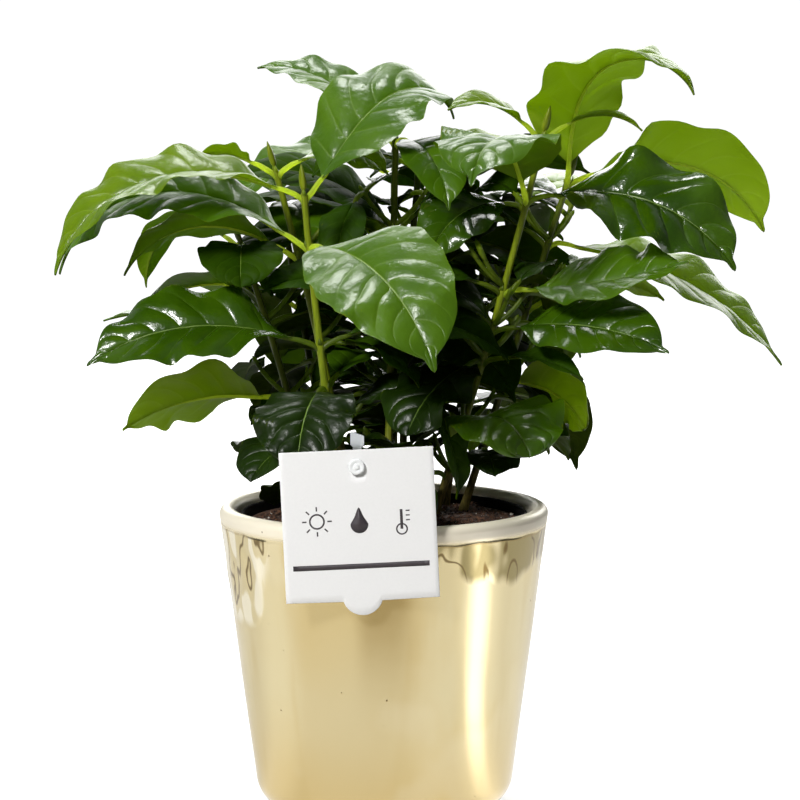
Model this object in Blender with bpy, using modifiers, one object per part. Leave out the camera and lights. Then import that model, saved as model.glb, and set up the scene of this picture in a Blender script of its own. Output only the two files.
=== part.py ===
"""A potted coffee plant: ten young coffee seedlings in one nursery pot, inside a glazed outer pot.

Each seedling is one tapering stem that carries its leaves in opposite pairs, every pair turned a quarter
turn from the one below. A pair is one piece: a collar that clasps the stem, with its two leaves grown out of
it. The origin is the centre of the outer pot's flat underside, +Z is up and the view from -Y is the front.
"""

import math
import random
from typing import NamedTuple

import bmesh
import bpy
import numpy as np
from mathutils import Matrix, Vector
from mathutils.bvhtree import BVHTree

MM = 0.001
GAP = 0.0003
JOIN_WELD = 0.00001

# Outer pot
POT_HEIGHT = 0.130
POT_RIM_RADIUS = 0.070
POT_WALL_SLOPE = 0.127
POT_FOOT_ROUNDING = 0.014
POT_LIP = 0.007
POT_WALL = 0.005
POT_FLOOR = 0.007

# Nursery pot, which stands on the outer pot's floor
NURSERY_TOP = 0.1268
NURSERY_RIM_RADIUS = 0.0610
NURSERY_RIM_HEIGHT = 0.0075
NURSERY_FOOT_RADIUS = 0.0420
NURSERY_WALL = 0.0016

SOIL_TOP = 0.1228
SOIL_CROWN = 0.0012

# Blank card and the clear stick that holds it
CARD_WIDTH = 0.0620
CARD_HEIGHT = 0.0613
CARD_THICKNESS = 0.0006
CARD_CENTRE = (-0.0095, -0.0709, 0.1317)
CARD_TILT = math.radians(2.7)
CARD_TAB_RADIUS = 0.0082
CARD_PIN_DROP = 0.0068
PIN_RADIUS = 0.0013
PIN_HEAD_RADIUS = 0.0033
STICK_WIDTH = 0.0056
STICK_DEPTH = 0.0024
STICK_SET_BACK = 0.0178
STICK_ABOVE_PIN = 0.0110

# Stems, whose shares of height count from a level a little under the soil's surface
STEM_BASE = 0.1185
STEM_SIDES = 8
STEM_RADIUS = 0.0020
STEM_TOP_RADIUS = 0.0016
STEM_FLARE = 0.0013
STEM_FLARE_HEIGHT = 0.006
BUD_HEIGHT = 0.013
BUD_RADIUS = 0.0017

# Leaves
COLLAR_TUBE = 0.0009
COLLAR_SIDES = 8
PETIOLE_LENGTH = 0.009
PETIOLE_RADIUS = 0.0011
STEEPEST_PETIOLE = 40
OUT_OF_COLLAR = 0.0024
LEAF_CLEARANCE = 0.0006
DRIP_SHARE = 0.12
SEED = 3


class Leaf(NamedTuple):
    """One leaf: where it points and how it hangs, in degrees, and its size in millimetres."""

    heading: float
    rise: float
    length: float
    width: float
    droop: float
    swing: float = 0
    roll: float = 0
    fold: float = 12
    hook: float = 1.3


class Seedling(NamedTuple):
    """One stem, in millimetres: foot on the soil, place of the top pair, bow, and heights of its pairs."""

    foot: tuple
    top: tuple
    bow: tuple
    first: float
    pairs: tuple


SEEDLINGS = {
    "front_left": Seedling((-16, -20), (-33, -20, 262), (-1, 0), 320, (138, 160, 182, 200, 241, 262)),
    "right": Seedling((20, 12), (67, 0, 286), (2, 0), 300, (142, 160, 191, 204, 221, 260, 286)),
    "back_right": Seedling((33, 28), (79, 25, 266), (0, 0), 322, (150, 180, 212, 240, 266)),
    "centre": Seedling((1, 8), (5, 22, 284), (0, 0), 250, (148, 178, 208, 246, 284)),
    "centre_back": Seedling((8, 28), (15, 35, 272), (-2, 0), 20, (170, 205, 240, 272)),
    "left": Seedling((-28, 18), (-61, 20, 238), (2, 0), 300, (145, 173, 206, 238)),
    "left_middle": Seedling((-12, 8), (-46, 10, 271), (2, 0), 60, (160, 198, 235, 271)),
    "rear_left": Seedling((-20, 40), (-46, 70, 252), (0, 0), 100, (165, 210, 252)),
    "rear": Seedling((4, 46), (4, 84, 268), (0, 0), 30, (158, 192, 230, 268)),
    "rear_right": Seedling((26, 44), (48, 76, 250), (0, 0), 60, (165, 208, 250)),
}

# Leaves that stand out from the rule: seedling, then the pair's number from the foot, then its two leaves.
CHOSEN = {
    ("front_left", 6): (
        Leaf(187, 24, 120, 38, 97, roll=-20, fold=14),
        Leaf(35, 52, 98, 49, 128, roll=22, fold=6, hook=3.0),
    ),
    ("front_left", 5): (
        Leaf(297, 4, 106, 54, 72, swing=18, roll=28, fold=6),
        Leaf(172, 37, 125, 40, 112, roll=-32, fold=8, hook=1.5),
    ),
    ("front_left", 4): (
        Leaf(186, 19, 98, 44, 55, roll=-38, fold=8),
        Leaf(8, 26, 84, 36, 75, roll=25),
    ),
    ("front_left", 3): (
        Leaf(257, 4, 54, 42, 74, roll=0, fold=4),
        Leaf(62, 20, 62, 30, 60),
    ),
    ("right", 7): (
        Leaf(195, 50, 44, 20, 78, roll=-18, fold=14),
        Leaf(353, 40, 43, 10, 84, fold=24),
    ),
    ("right", 6): (
        Leaf(340, 12, 98, 48, 70, roll=42, fold=8),
        Leaf(250, 57, 88, 50, 118, fold=2),
    ),
    ("right", 5): (
        Leaf(332, 4, 83, 37, -14, roll=34, fold=12),
        Leaf(196, 26, 72, 30, 70, roll=-30, fold=10),
    ),
    ("right", 4): (
        Leaf(326, 11, 84, 39, 34, roll=34, fold=8),
        Leaf(150, 20, 60, 26, 50),
    ),
    ("right", 3): (
        Leaf(307, 12, 52, 14, 40, roll=20, fold=20),
        Leaf(228, -10, 56, 44, 50, fold=6),
    ),
    ("right", 2): (
        Leaf(300, 34, 58, 50, 92, roll=12, fold=5),
        Leaf(100, 20, 40, 30, 40),
    ),
    ("right", 1): (
        Leaf(35, 22, 38, 28, 50, fold=5),
        Leaf(196, 8, 36, 27, 44, roll=-20, fold=5),
    ),
    ("back_right", 5): (
        Leaf(267, 77, 107, 51, 142, swing=88, roll=0, fold=6, hook=1.8),
        Leaf(8, 25, 98, 47, 92, roll=-44, fold=8),
    ),
    ("back_right", 4): (
        Leaf(12, -9, 121, 40, 44, roll=28, fold=8),
        Leaf(165, 40, 70, 32, 80),
    ),
    ("back_right", 3): (
        Leaf(350, 34, 60, 30, 70, roll=-30, fold=8),
        Leaf(178, 24, 66, 30, 70, roll=-24),
    ),
    ("back_right", 2): (
        Leaf(322, 2, 46, 42, 60, roll=-54, fold=4),
        Leaf(140, 20, 46, 36, 50),
    ),
    ("back_right", 1): (
        Leaf(78, 18, 42, 30, 50, fold=5),
        Leaf(258, 8, 38, 27, 42, fold=5),
    ),
    ("centre", 5): (
        Leaf(160, 53, 72, 30, 60, roll=-20, fold=8),
        Leaf(296, 4, 60, 28, 80, roll=10),
    ),
    ("rear", 4): (
        Leaf(30, 22, 84, 36, 88, roll=14),
        Leaf(196, 24, 84, 36, 88, roll=-14),
    ),
    ("centre_back", 4): (
        Leaf(20, 34, 54, 24, 74, roll=20),
        Leaf(205, 30, 50, 22, 80, roll=-20),
    ),
    ("left_middle", 2): (
        Leaf(148, 22, 84, 36, 84, roll=-20),
        Leaf(330, 8, 52, 26, 64),
    ),
    ("left_middle", 4): (
        Leaf(197, 32, 33, 16, 44, roll=26, fold=10),
        Leaf(343, 40, 52, 24, 84, roll=30, fold=8),
    ),
    ("left", 4): (
        Leaf(140, 36, 75, 20, 130, roll=20, fold=14),
        Leaf(272, 14, 44, 36, 80, fold=6),
    ),
    ("left", 3): (
        Leaf(184, 14, 68, 26, 30, fold=6),
        Leaf(4, 22, 72, 32, 80, roll=16),
    ),
    ("left", 2): (
        Leaf(197, 10, 73, 45, 44, roll=40, fold=8),
        Leaf(20, 24, 60, 34, 60, roll=20),
    ),
}

COLOURS = {
    "gold_glaze": ((0.72, 0.58, 0.32), 0.12, 1.0),
    "black_plastic": ((0.02, 0.02, 0.02), 0.5, 0.0),
    "potting_soil": ((0.06, 0.035, 0.02), 0.95, 0.0),
    "white_card": ((0.88, 0.88, 0.87), 0.6, 0.0),
    "clear_plastic": ((0.86, 0.9, 0.92), 0.1, 0.0),
    "green_bark": ((0.25, 0.33, 0.08), 0.55, 0.0),
    "leaf_green": ((0.05, 0.16, 0.03), 0.25, 0.0),
}


def clear_scene():
    """Removes every object, and what a second run would leave behind."""
    for obj in list(bpy.data.objects):
        bpy.data.objects.remove(obj, do_unlink=True)
    for collection in list(bpy.data.collections):
        bpy.data.collections.remove(collection)


def new_collection(name):
    made = bpy.data.collections.new(name)
    bpy.context.scene.collection.children.link(made)
    return made


def material(name):
    """The Principled material of this name, made once from COLOURS."""
    found = bpy.data.materials.get(name)
    if found:
        return found
    colour, roughness, metallic = COLOURS[name]
    made = bpy.data.materials.new(name)
    made.use_nodes = True
    shader = made.node_tree.nodes["Principled BSDF"]
    shader.inputs["Base Color"].default_value = (*colour, 1)
    shader.inputs["Roughness"].default_value = roughness
    shader.inputs["Metallic"].default_value = metallic
    made.diffuse_color = (*colour, 1)
    return made


def add_mesh(name, verts, faces, collection, slot=None):
    mesh = bpy.data.meshes.new(name)
    mesh.from_pydata([tuple(map(float, v)) for v in verts], [], faces)
    mesh.update()
    obj = bpy.data.objects.new(name, mesh)
    collection.objects.link(obj)
    if slot:
        mesh.materials.append(material(slot))
    return obj


def turned(name, profile, segments, slot, collection):
    """A profile of (radius, height) points, outer side first and from the top down, turned about +Z."""
    points = [(r, 0, z) for r, z in profile]
    obj = add_mesh(name, points, [], collection, slot)
    mesh = obj.data
    mesh.clear_geometry()
    mesh.from_pydata(points, [(i, i + 1) for i in range(len(points) - 1)], [])
    screw = obj.modifiers.new("turn", "SCREW")
    screw.axis = "Z"
    screw.angle = math.tau
    screw.steps = segments
    screw.render_steps = segments
    screw.use_merge_vertices = True
    screw.merge_threshold = 0.00005
    return obj


def arc(centre, radius, start, end, steps):
    """Points on an arc in the profile plane, with the angles in degrees."""
    angles = np.radians(np.linspace(start, end, steps))
    return [(centre[0] + radius * math.cos(a), centre[1] + radius * math.sin(a)) for a in angles]


def pot_wall_radius(height):
    return POT_RIM_RADIUS - POT_WALL_SLOPE * (POT_HEIGHT - height)


def pot_profile():
    """Rounded lip, straight tapering wall, rounded foot and flat underside, then the inside from floor to lip."""
    lip = POT_LIP / 2
    lean = math.degrees(math.atan(POT_WALL_SLOPE))
    top = arc((POT_RIM_RADIUS - lip, POT_HEIGHT - lip), lip, 90, -lean, 5)
    corner = POT_FOOT_ROUNDING
    inset = corner * (1 / math.cos(math.radians(lean)) - POT_WALL_SLOPE)
    foot = arc((pot_wall_radius(0) - inset, corner), corner, -lean, -90, 7)
    inside_foot = pot_wall_radius(POT_FLOOR) - POT_WALL - 0.006
    inner_lip = arc((POT_RIM_RADIUS - lip, POT_HEIGHT - lip), lip, 180, 90, 4)
    inside = [
        (0, POT_FLOOR),
        (inside_foot, POT_FLOOR),
        (inside_foot + 0.006, POT_FLOOR + 0.008),
        (pot_wall_radius(0.09) - POT_WALL, 0.09),
    ]
    return top + foot + [(0, 0)], inside + inner_lip


def build_pot(collection):
    outside, inside = pot_profile()
    return turned("pot", outside + inside, 48, "gold_glaze", collection)


def nursery_radius(height):
    """Outer radius of the nursery pot's wall below its rim band."""
    share = (height - POT_FLOOR) / (NURSERY_TOP - NURSERY_RIM_HEIGHT - POT_FLOOR)
    return NURSERY_FOOT_RADIUS + (NURSERY_RIM_RADIUS - 0.0012 - NURSERY_FOOT_RADIUS) * share


def build_nursery_pot(collection):
    band = NURSERY_TOP - NURSERY_RIM_HEIGHT
    foot = POT_FLOOR + GAP
    floor = foot + NURSERY_WALL
    profile = [
        (NURSERY_RIM_RADIUS - NURSERY_WALL / 2, NURSERY_TOP),
        (NURSERY_RIM_RADIUS, NURSERY_TOP - 0.0008),
        (NURSERY_RIM_RADIUS, band),
        (nursery_radius(band), band),
        (nursery_radius(foot), foot),
        (0, foot),
        (0, floor),
        (nursery_radius(floor) - NURSERY_WALL, floor),
        (nursery_radius(band) - NURSERY_WALL, band),
        (NURSERY_RIM_RADIUS - NURSERY_WALL, NURSERY_TOP - 0.0008),
        (NURSERY_RIM_RADIUS - NURSERY_WALL / 2, NURSERY_TOP),
    ]
    return turned("nursery_pot", profile, 40, "black_plastic", collection)


def soil_height(radius):
    """The soil's top is a low mound that settles toward the wall."""
    return SOIL_TOP + SOIL_CROWN * math.cos(min(1.0, radius / 0.058) * math.pi / 2)


def build_soil(collection):
    foot = POT_FLOOR + GAP + NURSERY_WALL + GAP
    edge = nursery_radius(SOIL_TOP - 0.004) - NURSERY_WALL - GAP
    top = [(edge * k / 4, soil_height(edge * k / 4)) for k in range(5)]
    profile = top + [(nursery_radius(foot) - NURSERY_WALL - GAP, foot), (0, foot)]
    return turned("soil", profile, 40, "potting_soil", collection)


def card_matrix():
    """Card space to world: x across the card, y up it, z towards the viewer."""
    upright = Matrix.Rotation(math.radians(90), 4, "X")
    return Matrix.Translation(CARD_CENTRE) @ Matrix.Rotation(-CARD_TILT, 4, "Y") @ upright


def card_pin():
    """Where the pin goes through the card, in world space."""
    return card_matrix() @ Vector((0, CARD_HEIGHT / 2 - CARD_PIN_DROP, 0))


def build_card(collection, cutters):
    """A square card with a round tab under it and a hole for the pin."""
    half_width = CARD_WIDTH / 2
    half_height = CARD_HEIGHT / 2
    centre = -half_height + 0.0022
    start = math.asin((half_height + centre + 0.0003) / CARD_TAB_RADIUS)
    angles = np.linspace(math.pi + start, math.tau - start, 13)
    tab = [(CARD_TAB_RADIUS * math.cos(a), centre + CARD_TAB_RADIUS * math.sin(a)) for a in angles]
    outline = [(-half_width, half_height), (-half_width, -half_height)] + tab
    outline += [(half_width, -half_height), (half_width, half_height)]
    curve = bpy.data.curves.new("card_outline", "CURVE")
    curve.dimensions = "2D"
    curve.fill_mode = "BOTH"
    curve.extrude = CARD_THICKNESS / 2
    spline = curve.splines.new("POLY")
    spline.points.add(len(outline) - 1)
    for point, (x, y) in zip(spline.points, outline):
        point.co = (x, y, 0, 1)
    spline.use_cyclic_u = True
    flat = bpy.data.objects.new("card_outline", curve)
    collection.objects.link(flat)
    bpy.context.view_layer.update()
    graph = bpy.context.evaluated_depsgraph_get()
    mesh = bpy.data.meshes.new_from_object(flat.evaluated_get(graph))
    bpy.data.objects.remove(flat, do_unlink=True)
    weld(mesh, 1e-6)
    card = bpy.data.objects.new("tag_card", mesh)
    card.matrix_world = card_matrix()
    collection.objects.link(card)
    mesh.materials.clear()
    mesh.materials.append(material("white_card"))
    bpy.ops.mesh.primitive_cylinder_add(vertices=16, radius=PIN_RADIUS + GAP, depth=0.01)
    hole = bpy.context.object
    hole.name = "card_hole"
    hole.matrix_world = card_matrix() @ Matrix.Translation((0, half_height - CARD_PIN_DROP, 0))
    move_to(hole, cutters)
    cut = card.modifiers.new("pin hole", "BOOLEAN")
    cut.operation = "DIFFERENCE"
    cut.object = hole
    return card


def weld(mesh, distance):
    """Merges points closer than the distance, and faces slimmer than it, and turns all faces outwards."""
    work = bmesh.new()
    work.from_mesh(mesh)
    bmesh.ops.remove_doubles(work, verts=work.verts, dist=distance)
    bmesh.ops.triangulate(work, faces=work.faces)
    bmesh.ops.dissolve_degenerate(work, dist=distance, edges=work.edges)
    bmesh.ops.triangulate(work, faces=work.faces)
    bmesh.ops.recalc_face_normals(work, faces=work.faces)
    work.to_mesh(mesh)
    work.free()


def move_to(obj, cutters):
    """Puts a helper in its collection and leaves it out of the render."""
    for collection in list(obj.users_collection):
        collection.objects.unlink(obj)
    cutters.objects.link(obj)
    obj.hide_render = True
    obj.display_type = "WIRE"


def join_all(name, pieces, slot, collection, solver="MANIFOLD"):
    """One Boolean union on a collection of closed pieces, applied, with the pieces then removed."""
    parts = bpy.data.collections.new(name + "_parts")
    bpy.context.scene.collection.children.link(parts)
    first = pieces[0]
    for piece in pieces[1:]:
        for owner in list(piece.users_collection):
            owner.objects.unlink(piece)
        parts.objects.link(piece)
    union = first.modifiers.new("join", "BOOLEAN")
    union.operation = "UNION"
    union.operand_type = "COLLECTION"
    union.collection = parts
    union.solver = solver
    bpy.context.view_layer.update()
    graph = bpy.context.evaluated_depsgraph_get()
    mesh = bpy.data.meshes.new_from_object(first.evaluated_get(graph))
    mesh.transform(first.matrix_world)
    weld(mesh, JOIN_WELD)
    for piece in pieces:
        bpy.data.objects.remove(piece, do_unlink=True)
    bpy.data.collections.remove(parts)
    made = bpy.data.objects.new(name, mesh)
    mesh.materials.clear()
    mesh.materials.append(material(slot))
    collection.objects.link(made)
    return made


def build_stick(collection):
    """A flat clear stick in the soil with a round-headed pin through the card."""
    pin = card_pin()
    back = pin.y + STICK_SET_BACK
    top = pin.z + STICK_ABOVE_PIN
    low = soil_height(abs(back)) + GAP
    bpy.ops.mesh.primitive_cube_add(size=1)
    stick = bpy.context.object
    stick.matrix_world = Matrix.Translation((pin.x, back, (top + low) / 2)) @ Matrix.Diagonal(
        (STICK_WIDTH, STICK_DEPTH, top - low, 1)
    )
    pieces = [stick]
    spans = ((PIN_RADIUS, back, pin.y - 0.0016), (PIN_HEAD_RADIUS, pin.y - 0.0006, pin.y - 0.0022))
    for radius, start, end in spans:
        bpy.ops.mesh.primitive_cylinder_add(vertices=14, radius=radius, depth=start - end)
        round_piece = bpy.context.object
        round_piece.matrix_world = Matrix.Translation((pin.x, (start + end) / 2, pin.z)) @ Matrix.Rotation(
            math.radians(90), 4, "X"
        )
        pieces.append(round_piece)
    return join_all("tag_stick", pieces, "clear_plastic", collection)


def stem_point(seedling, height):
    """The stem's centre at a height, both in metres: a straight lean with a slight bow."""
    foot = np.array(seedling.foot) * MM
    top = np.array(seedling.top) * MM
    share = (height - STEM_BASE) / (top[2] - STEM_BASE)
    place = foot + (top[:2] - foot) * share + np.array(seedling.bow) * MM * 4 * share * (1 - share)
    return np.array([place[0], place[1], height])


def stem_radius(seedling, height):
    """Flared at the foot and thinning towards the top pair, then the bud's neck, swell and point."""
    top = seedling.top[2] * MM
    above = height - STEM_BASE
    share = above / (top - STEM_BASE)
    if share <= 1:
        taper = STEM_RADIUS + (STEM_TOP_RADIUS - STEM_RADIUS) * share
        return taper + STEM_FLARE * math.exp(-above / STEM_FLARE_HEIGHT)
    bud = (height - top) / BUD_HEIGHT
    swell = BUD_RADIUS * math.sin(math.pi * min(1.0, 0.12 + 0.88 * bud)) ** 0.8
    neck = STEM_TOP_RADIUS * max(0.0, 1 - 4 * bud)
    return max(neck, swell)


def build_stem(name, seedling, collection):
    """Level rings up the stem from a flat cut on the soil, closed by the bud's point."""
    foot = max(soil_height(math.hypot(*seedling.foot) * MM), SOIL_TOP) + GAP
    top = seedling.top[2] * MM
    heights = [foot, foot + 0.003, foot + 0.008, foot + 0.016]
    heights += list(np.linspace(foot + 0.016, top, 6)[1:])
    heights += [top + BUD_HEIGHT * share for share in (0.18, 0.35, 0.55, 0.8)]
    verts = []
    for height in heights:
        centre = stem_point(seedling, height)
        radius = stem_radius(seedling, height)
        for k in range(STEM_SIDES):
            angle = math.tau * k / STEM_SIDES
            verts.append(centre + radius * np.array([math.cos(angle), math.sin(angle), 0]))
    verts.append(stem_point(seedling, top + BUD_HEIGHT))
    faces = loft_faces(len(heights), STEM_SIDES)
    return add_mesh("stem_" + name, verts, faces, collection, "green_bark")


def loft_faces(rings, sides):
    """Faces of a loft whose last ring closes on one point, which is the last vertex, and whose first is flat."""
    faces = [tuple(reversed(range(sides)))]
    for i in range(rings - 1):
        for k in range(sides):
            after = (k + 1) % sides
            low = i * sides
            faces.append((low + k, low + after, low + sides + after, low + sides + k))
    last = (rings - 1) * sides
    for k in range(sides):
        faces.append((last + k, last + (k + 1) % sides, rings * sides))
    return faces


def blade_profile(u, roundness):
    """Half width of the blade over its greatest half width, at share u of the blade's length.

    A long leaf is an ellipse that narrows to a drip tip; roundness 1 gives the seedling's plain round leaf.
    """
    body_end = 1 - DRIP_SHARE * (1 - roundness)
    x = np.clip(u / body_end, 0, 1)
    power = 0.84 - 0.3 * roundness
    body = (2 * np.sqrt(np.clip(x * (1 - x), 0, 1))) ** (2 * power)
    drip = 0.12 * (1 - u) / DRIP_SHARE * (1 - roundness)
    return np.maximum(body, np.minimum(drip, 0.12 * (1 - roundness)))


def leaf_direction(leaf, shares):
    """Unit vectors along the midrib and level across it, at these shares of the leaf's length."""
    start = PETIOLE_LENGTH / (leaf.length * MM)
    pitch = leaf.rise - leaf.droop * shares**leaf.hook
    pitch = np.radians(np.minimum(pitch, STEEPEST_PETIOLE + 40 * shares / start))
    heading = np.radians(leaf.heading + leaf.swing * shares)
    along = np.stack([np.cos(pitch) * np.cos(heading), np.cos(pitch) * np.sin(heading), np.sin(pitch)], -1)
    return along, np.stack([-np.sin(heading), np.cos(heading), 0 * heading], -1)


def leaf_frames(root, leaf, shares):
    """Points on the midrib at these shares of its length, with the side and upward vectors there.

    The pitch falls from leaf.rise by leaf.droop, late on the leaf where leaf.hook is high, and the heading
    turns by leaf.swing.
    """
    steps = 60
    marks = np.linspace(0, 1, steps + 1)
    along, _ = leaf_direction(leaf, (marks[1:] + marks[:-1]) / 2)
    path = np.vstack([np.zeros(3), np.cumsum(along * leaf.length * MM / steps, axis=0)]) + root
    points = np.stack([np.interp(shares, marks, path[:, i]) for i in range(3)], -1)
    tangent, side = leaf_direction(leaf, shares)
    up = np.cross(tangent, side)
    start = PETIOLE_LENGTH / (leaf.length * MM)
    roll = np.radians(leaf.roll) * np.clip((shares - start) / 0.25, 0, 1)[:, None]
    return points, side * np.cos(roll) + up * np.sin(roll), up * np.cos(roll) - side * np.sin(roll)


def leaf_mesh(root, leaf, grow=0.0):
    """A leaf as one loft of four-sided rings: a thin petiole, then a blade folded at its midrib.

    grow thickens and widens it, which gives the space that the leaf keeps from its neighbours.
    """
    start = PETIOLE_LENGTH / (leaf.length * MM)
    blade = np.array([0.0, 0.1, 0.28, 0.48, 0.68, 0.84, 0.93])
    shares = np.concatenate([[0.0, OUT_OF_COLLAR / (leaf.length * MM)], start + (1 - start) * blade, [1.0]])
    roundness = np.clip((leaf.width / leaf.length - 0.55) * 4, 0, 1)
    half = leaf.width / 2 * MM * blade_profile(blade, roundness)
    half = np.concatenate([[PETIOLE_RADIUS] * 2, np.maximum(half, PETIOLE_RADIUS)]) + grow
    thick = 0.006 * leaf.length * MM
    thickness = np.array([PETIOLE_RADIUS] * 3 + [thick] * 4 + [thick * 0.8, thick * 0.5]) + grow
    points, side, up = leaf_frames(root, leaf, shares)
    lift = np.radians(leaf.fold) * np.concatenate([[0, 0, 0], np.ones(len(blade) - 1)])
    verts = []
    for i in range(len(shares) - 1):
        edge = half[i] * math.cos(lift[i]) * side[i]
        raised = half[i] * math.sin(lift[i]) * up[i]
        verts.append(points[i] + edge + raised)
        verts.append(points[i] + thickness[i] * up[i])
        verts.append(points[i] - edge + raised)
        verts.append(points[i] - thickness[i] * up[i])
    tip = points[-1] + grow * (points[-1] - points[-2]) / np.linalg.norm(points[-1] - points[-2])
    verts.append(tip)
    return verts, loft_faces(len(shares) - 1, 4)


def tree_of(verts, faces):
    return BVHTree.FromPolygons([tuple(v) for v in verts], faces)


def collar_frame(seedling, height):
    """Centre of a pair's collar, the stem's direction there and the radius of the collar's centre line."""
    centre = stem_point(seedling, height)
    ahead = stem_point(seedling, height + 0.002) - stem_point(seedling, height - 0.002)
    radius = stem_radius(seedling, height) + GAP + COLLAR_TUBE
    return centre, ahead / np.linalg.norm(ahead), radius


def leaf_root(seedling, height, heading):
    """Where a petiole starts: inside the collar's tube, on the side that the leaf grows to."""
    centre, _, radius = collar_frame(seedling, height)
    angle = math.radians(heading)
    return centre + radius * np.array([math.cos(angle), math.sin(angle), 0])


def leaf_by_rule(height_share, heading, dice):
    """The leaf that a pair has by its height on the stem: small and round low down, long above, young on top."""
    if height_share < 0.3:
        length = dice.uniform(40, 50)
        return Leaf(heading, dice.uniform(5, 30), length, length * dice.uniform(0.66, 0.8), dice.uniform(40, 65))
    length = 70 + 34 * math.sin(math.pi * min(1, height_share * 0.95)) + dice.uniform(-8, 8)
    width = length * dice.uniform(0.38, 0.45)
    rise = 8 + 34 * height_share + dice.uniform(-8, 8)
    return Leaf(heading, rise, length, width, dice.uniform(70, 100), 0, dice.uniform(-32, 32), dice.uniform(4, 12))


def variations(leaf, chosen):
    """The leaf itself, then ever larger changes of its rise, heading and size to look for free space."""
    yield leaf
    reach = 3 if chosen else 7
    for size in (1.0, 0.9, 0.8, 0.68):
        for step in range(1, reach + 1):
            for turn, lift in ((0, 5), (0, -5), (6, 0), (-6, 0), (5, 4), (-5, 4), (5, -4), (-5, -4)):
                yield leaf._replace(
                    heading=leaf.heading + turn * step,
                    rise=leaf.rise + lift * step,
                    length=leaf.length * size,
                    width=leaf.width * size,
                )


def obstacles():
    """What no leaf may touch: the outer pot with its rim, the soil, the card, and every stem."""
    found = []
    wide = POT_RIM_RADIUS + 0.0012
    sides = 24
    ring = [(math.cos(math.tau * k / sides), math.sin(math.tau * k / sides)) for k in range(sides)]
    verts = [(wide * x, wide * y, POT_HEIGHT + 0.001) for x, y in ring]
    verts += [(0.0625 * x, 0.0625 * y, POT_HEIGHT + 0.001) for x, y in ring]
    verts += [(0.0615 * x, 0.0615 * y, STEM_BASE + 0.002) for x, y in ring]
    verts += [(0.9 * wide * x, 0.9 * wide * y, 0.01) for x, y in ring]
    faces = []
    for low, high in ((3, 0), (0, 1), (1, 2)):
        for k in range(sides):
            after = (k + 1) % sides
            faces.append((low * sides + k, low * sides + after, high * sides + after, high * sides + k))
    faces.append(tuple(range(2 * sides, 3 * sides)))
    found.append(tree_of(verts, faces))
    half = CARD_HEIGHT / 2 + 0.002
    centre = Vector(CARD_CENTRE)
    corners = [
        centre + Vector((x * half, y * 0.0045 - 0.001, z * half)) for z in (-1, 1) for y in (-1, 1) for x in (-1, 1)
    ]
    box = [(0, 1, 3, 2), (4, 6, 7, 5), (0, 4, 5, 1), (2, 3, 7, 6), (0, 2, 6, 4), (1, 5, 7, 3)]
    found.append(tree_of(corners, box))
    stick = Vector((card_pin().x, card_pin().y + STICK_SET_BACK, card_pin().z - 0.014))
    corners = [stick + Vector((x * 0.004, y * 0.003, z * 0.029)) for z in (-1, 1) for y in (-1, 1) for x in (-1, 1)]
    found.append(tree_of(corners, box))
    return found


def stem_space(seedling):
    """The stem and a little round it, which leaves keep clear of."""
    heights = np.linspace(STEM_BASE, seedling.top[2] * MM + BUD_HEIGHT, 9)
    verts = []
    for height in heights:
        centre = stem_point(seedling, height)
        radius = max(stem_radius(seedling, min(height, seedling.top[2] * MM)), STEM_TOP_RADIUS) + 0.0007
        for k in range(6):
            angle = math.tau * k / 6
            verts.append(centre + radius * np.array([math.cos(angle), math.sin(angle), 0]))
    verts.append(stem_point(seedling, heights[-1] + 0.001))
    return tree_of(verts, loft_faces(len(heights), 6))


def collar_space(seedling, height):
    """The collar of one pair and a little round it."""
    centre, _, radius = collar_frame(seedling, height)
    wide = radius + COLLAR_TUBE + LEAF_CLEARANCE
    ring = [wide * np.array([math.cos(math.tau * k / 6), math.sin(math.tau * k / 6), 0]) for k in range(6)]
    verts = [centre + edge + np.array([0, 0, lift]) for lift in (-0.0018, 0.0018) for edge in ring]
    return tree_of(verts + [centre + np.array([0, 0, 0.003])], loft_faces(2, 6))


def leaf_space(root, leaf, rings):
    """The leaf's keep-clear mesh without its first rings, which stand in or at its own collar."""
    verts, _ = leaf_mesh(root, leaf, LEAF_CLEARANCE)
    return tree_of(verts[4 * rings :], loft_faces(len(verts) // 4 - rings, 4))


def arrange_leaves():
    """Every leaf with its root, keyed by seedling and pair: the chosen ones first, then the rest by the rule.

    A leaf that would touch what stands already takes the first variation that is free, or is left out.
    """
    dice = random.Random(SEED)
    standing = [((), tree) for tree in obstacles()]
    standing += [((name, 0), stem_space(seedling)) for name, seedling in SEEDLINGS.items()]
    wanted = []
    for name, seedling in SEEDLINGS.items():
        for number, height in enumerate(seedling.pairs, start=1):
            standing.append(((name, number), collar_space(seedling, height * MM)))
            share = (height * MM - STEM_BASE) / (seedling.top[2] * MM - STEM_BASE)
            heading = seedling.first + 90 * (number - 1) + dice.uniform(-12, 12)
            ruled = (leaf_by_rule(share, heading, dice), leaf_by_rule(share, heading + 180, dice))
            chosen = CHOSEN.get((name, number))
            for leaf in chosen or ruled:
                wanted.append((chosen is None, name, number, leaf))
    wanted.sort(key=lambda item: item[0])
    placed = {}
    for ruled, name, number, leaf in wanted:
        seedling = SEEDLINGS[name]
        height = seedling.pairs[number - 1] * MM
        for tried in variations(leaf, not ruled):
            root = leaf_root(seedling, height, tried.heading)
            whole = leaf_space(root, tried, 1)
            blade = leaf_space(root, tried, 2)
            own = ((name, 0), (name, number))
            if not any((blade if owner in own else whole).overlap(other) for owner, other in standing):
                standing.append(((name, number, tried.heading), whole))
                placed.setdefault((name, number), []).append((root, tried))
                break
    return placed


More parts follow.
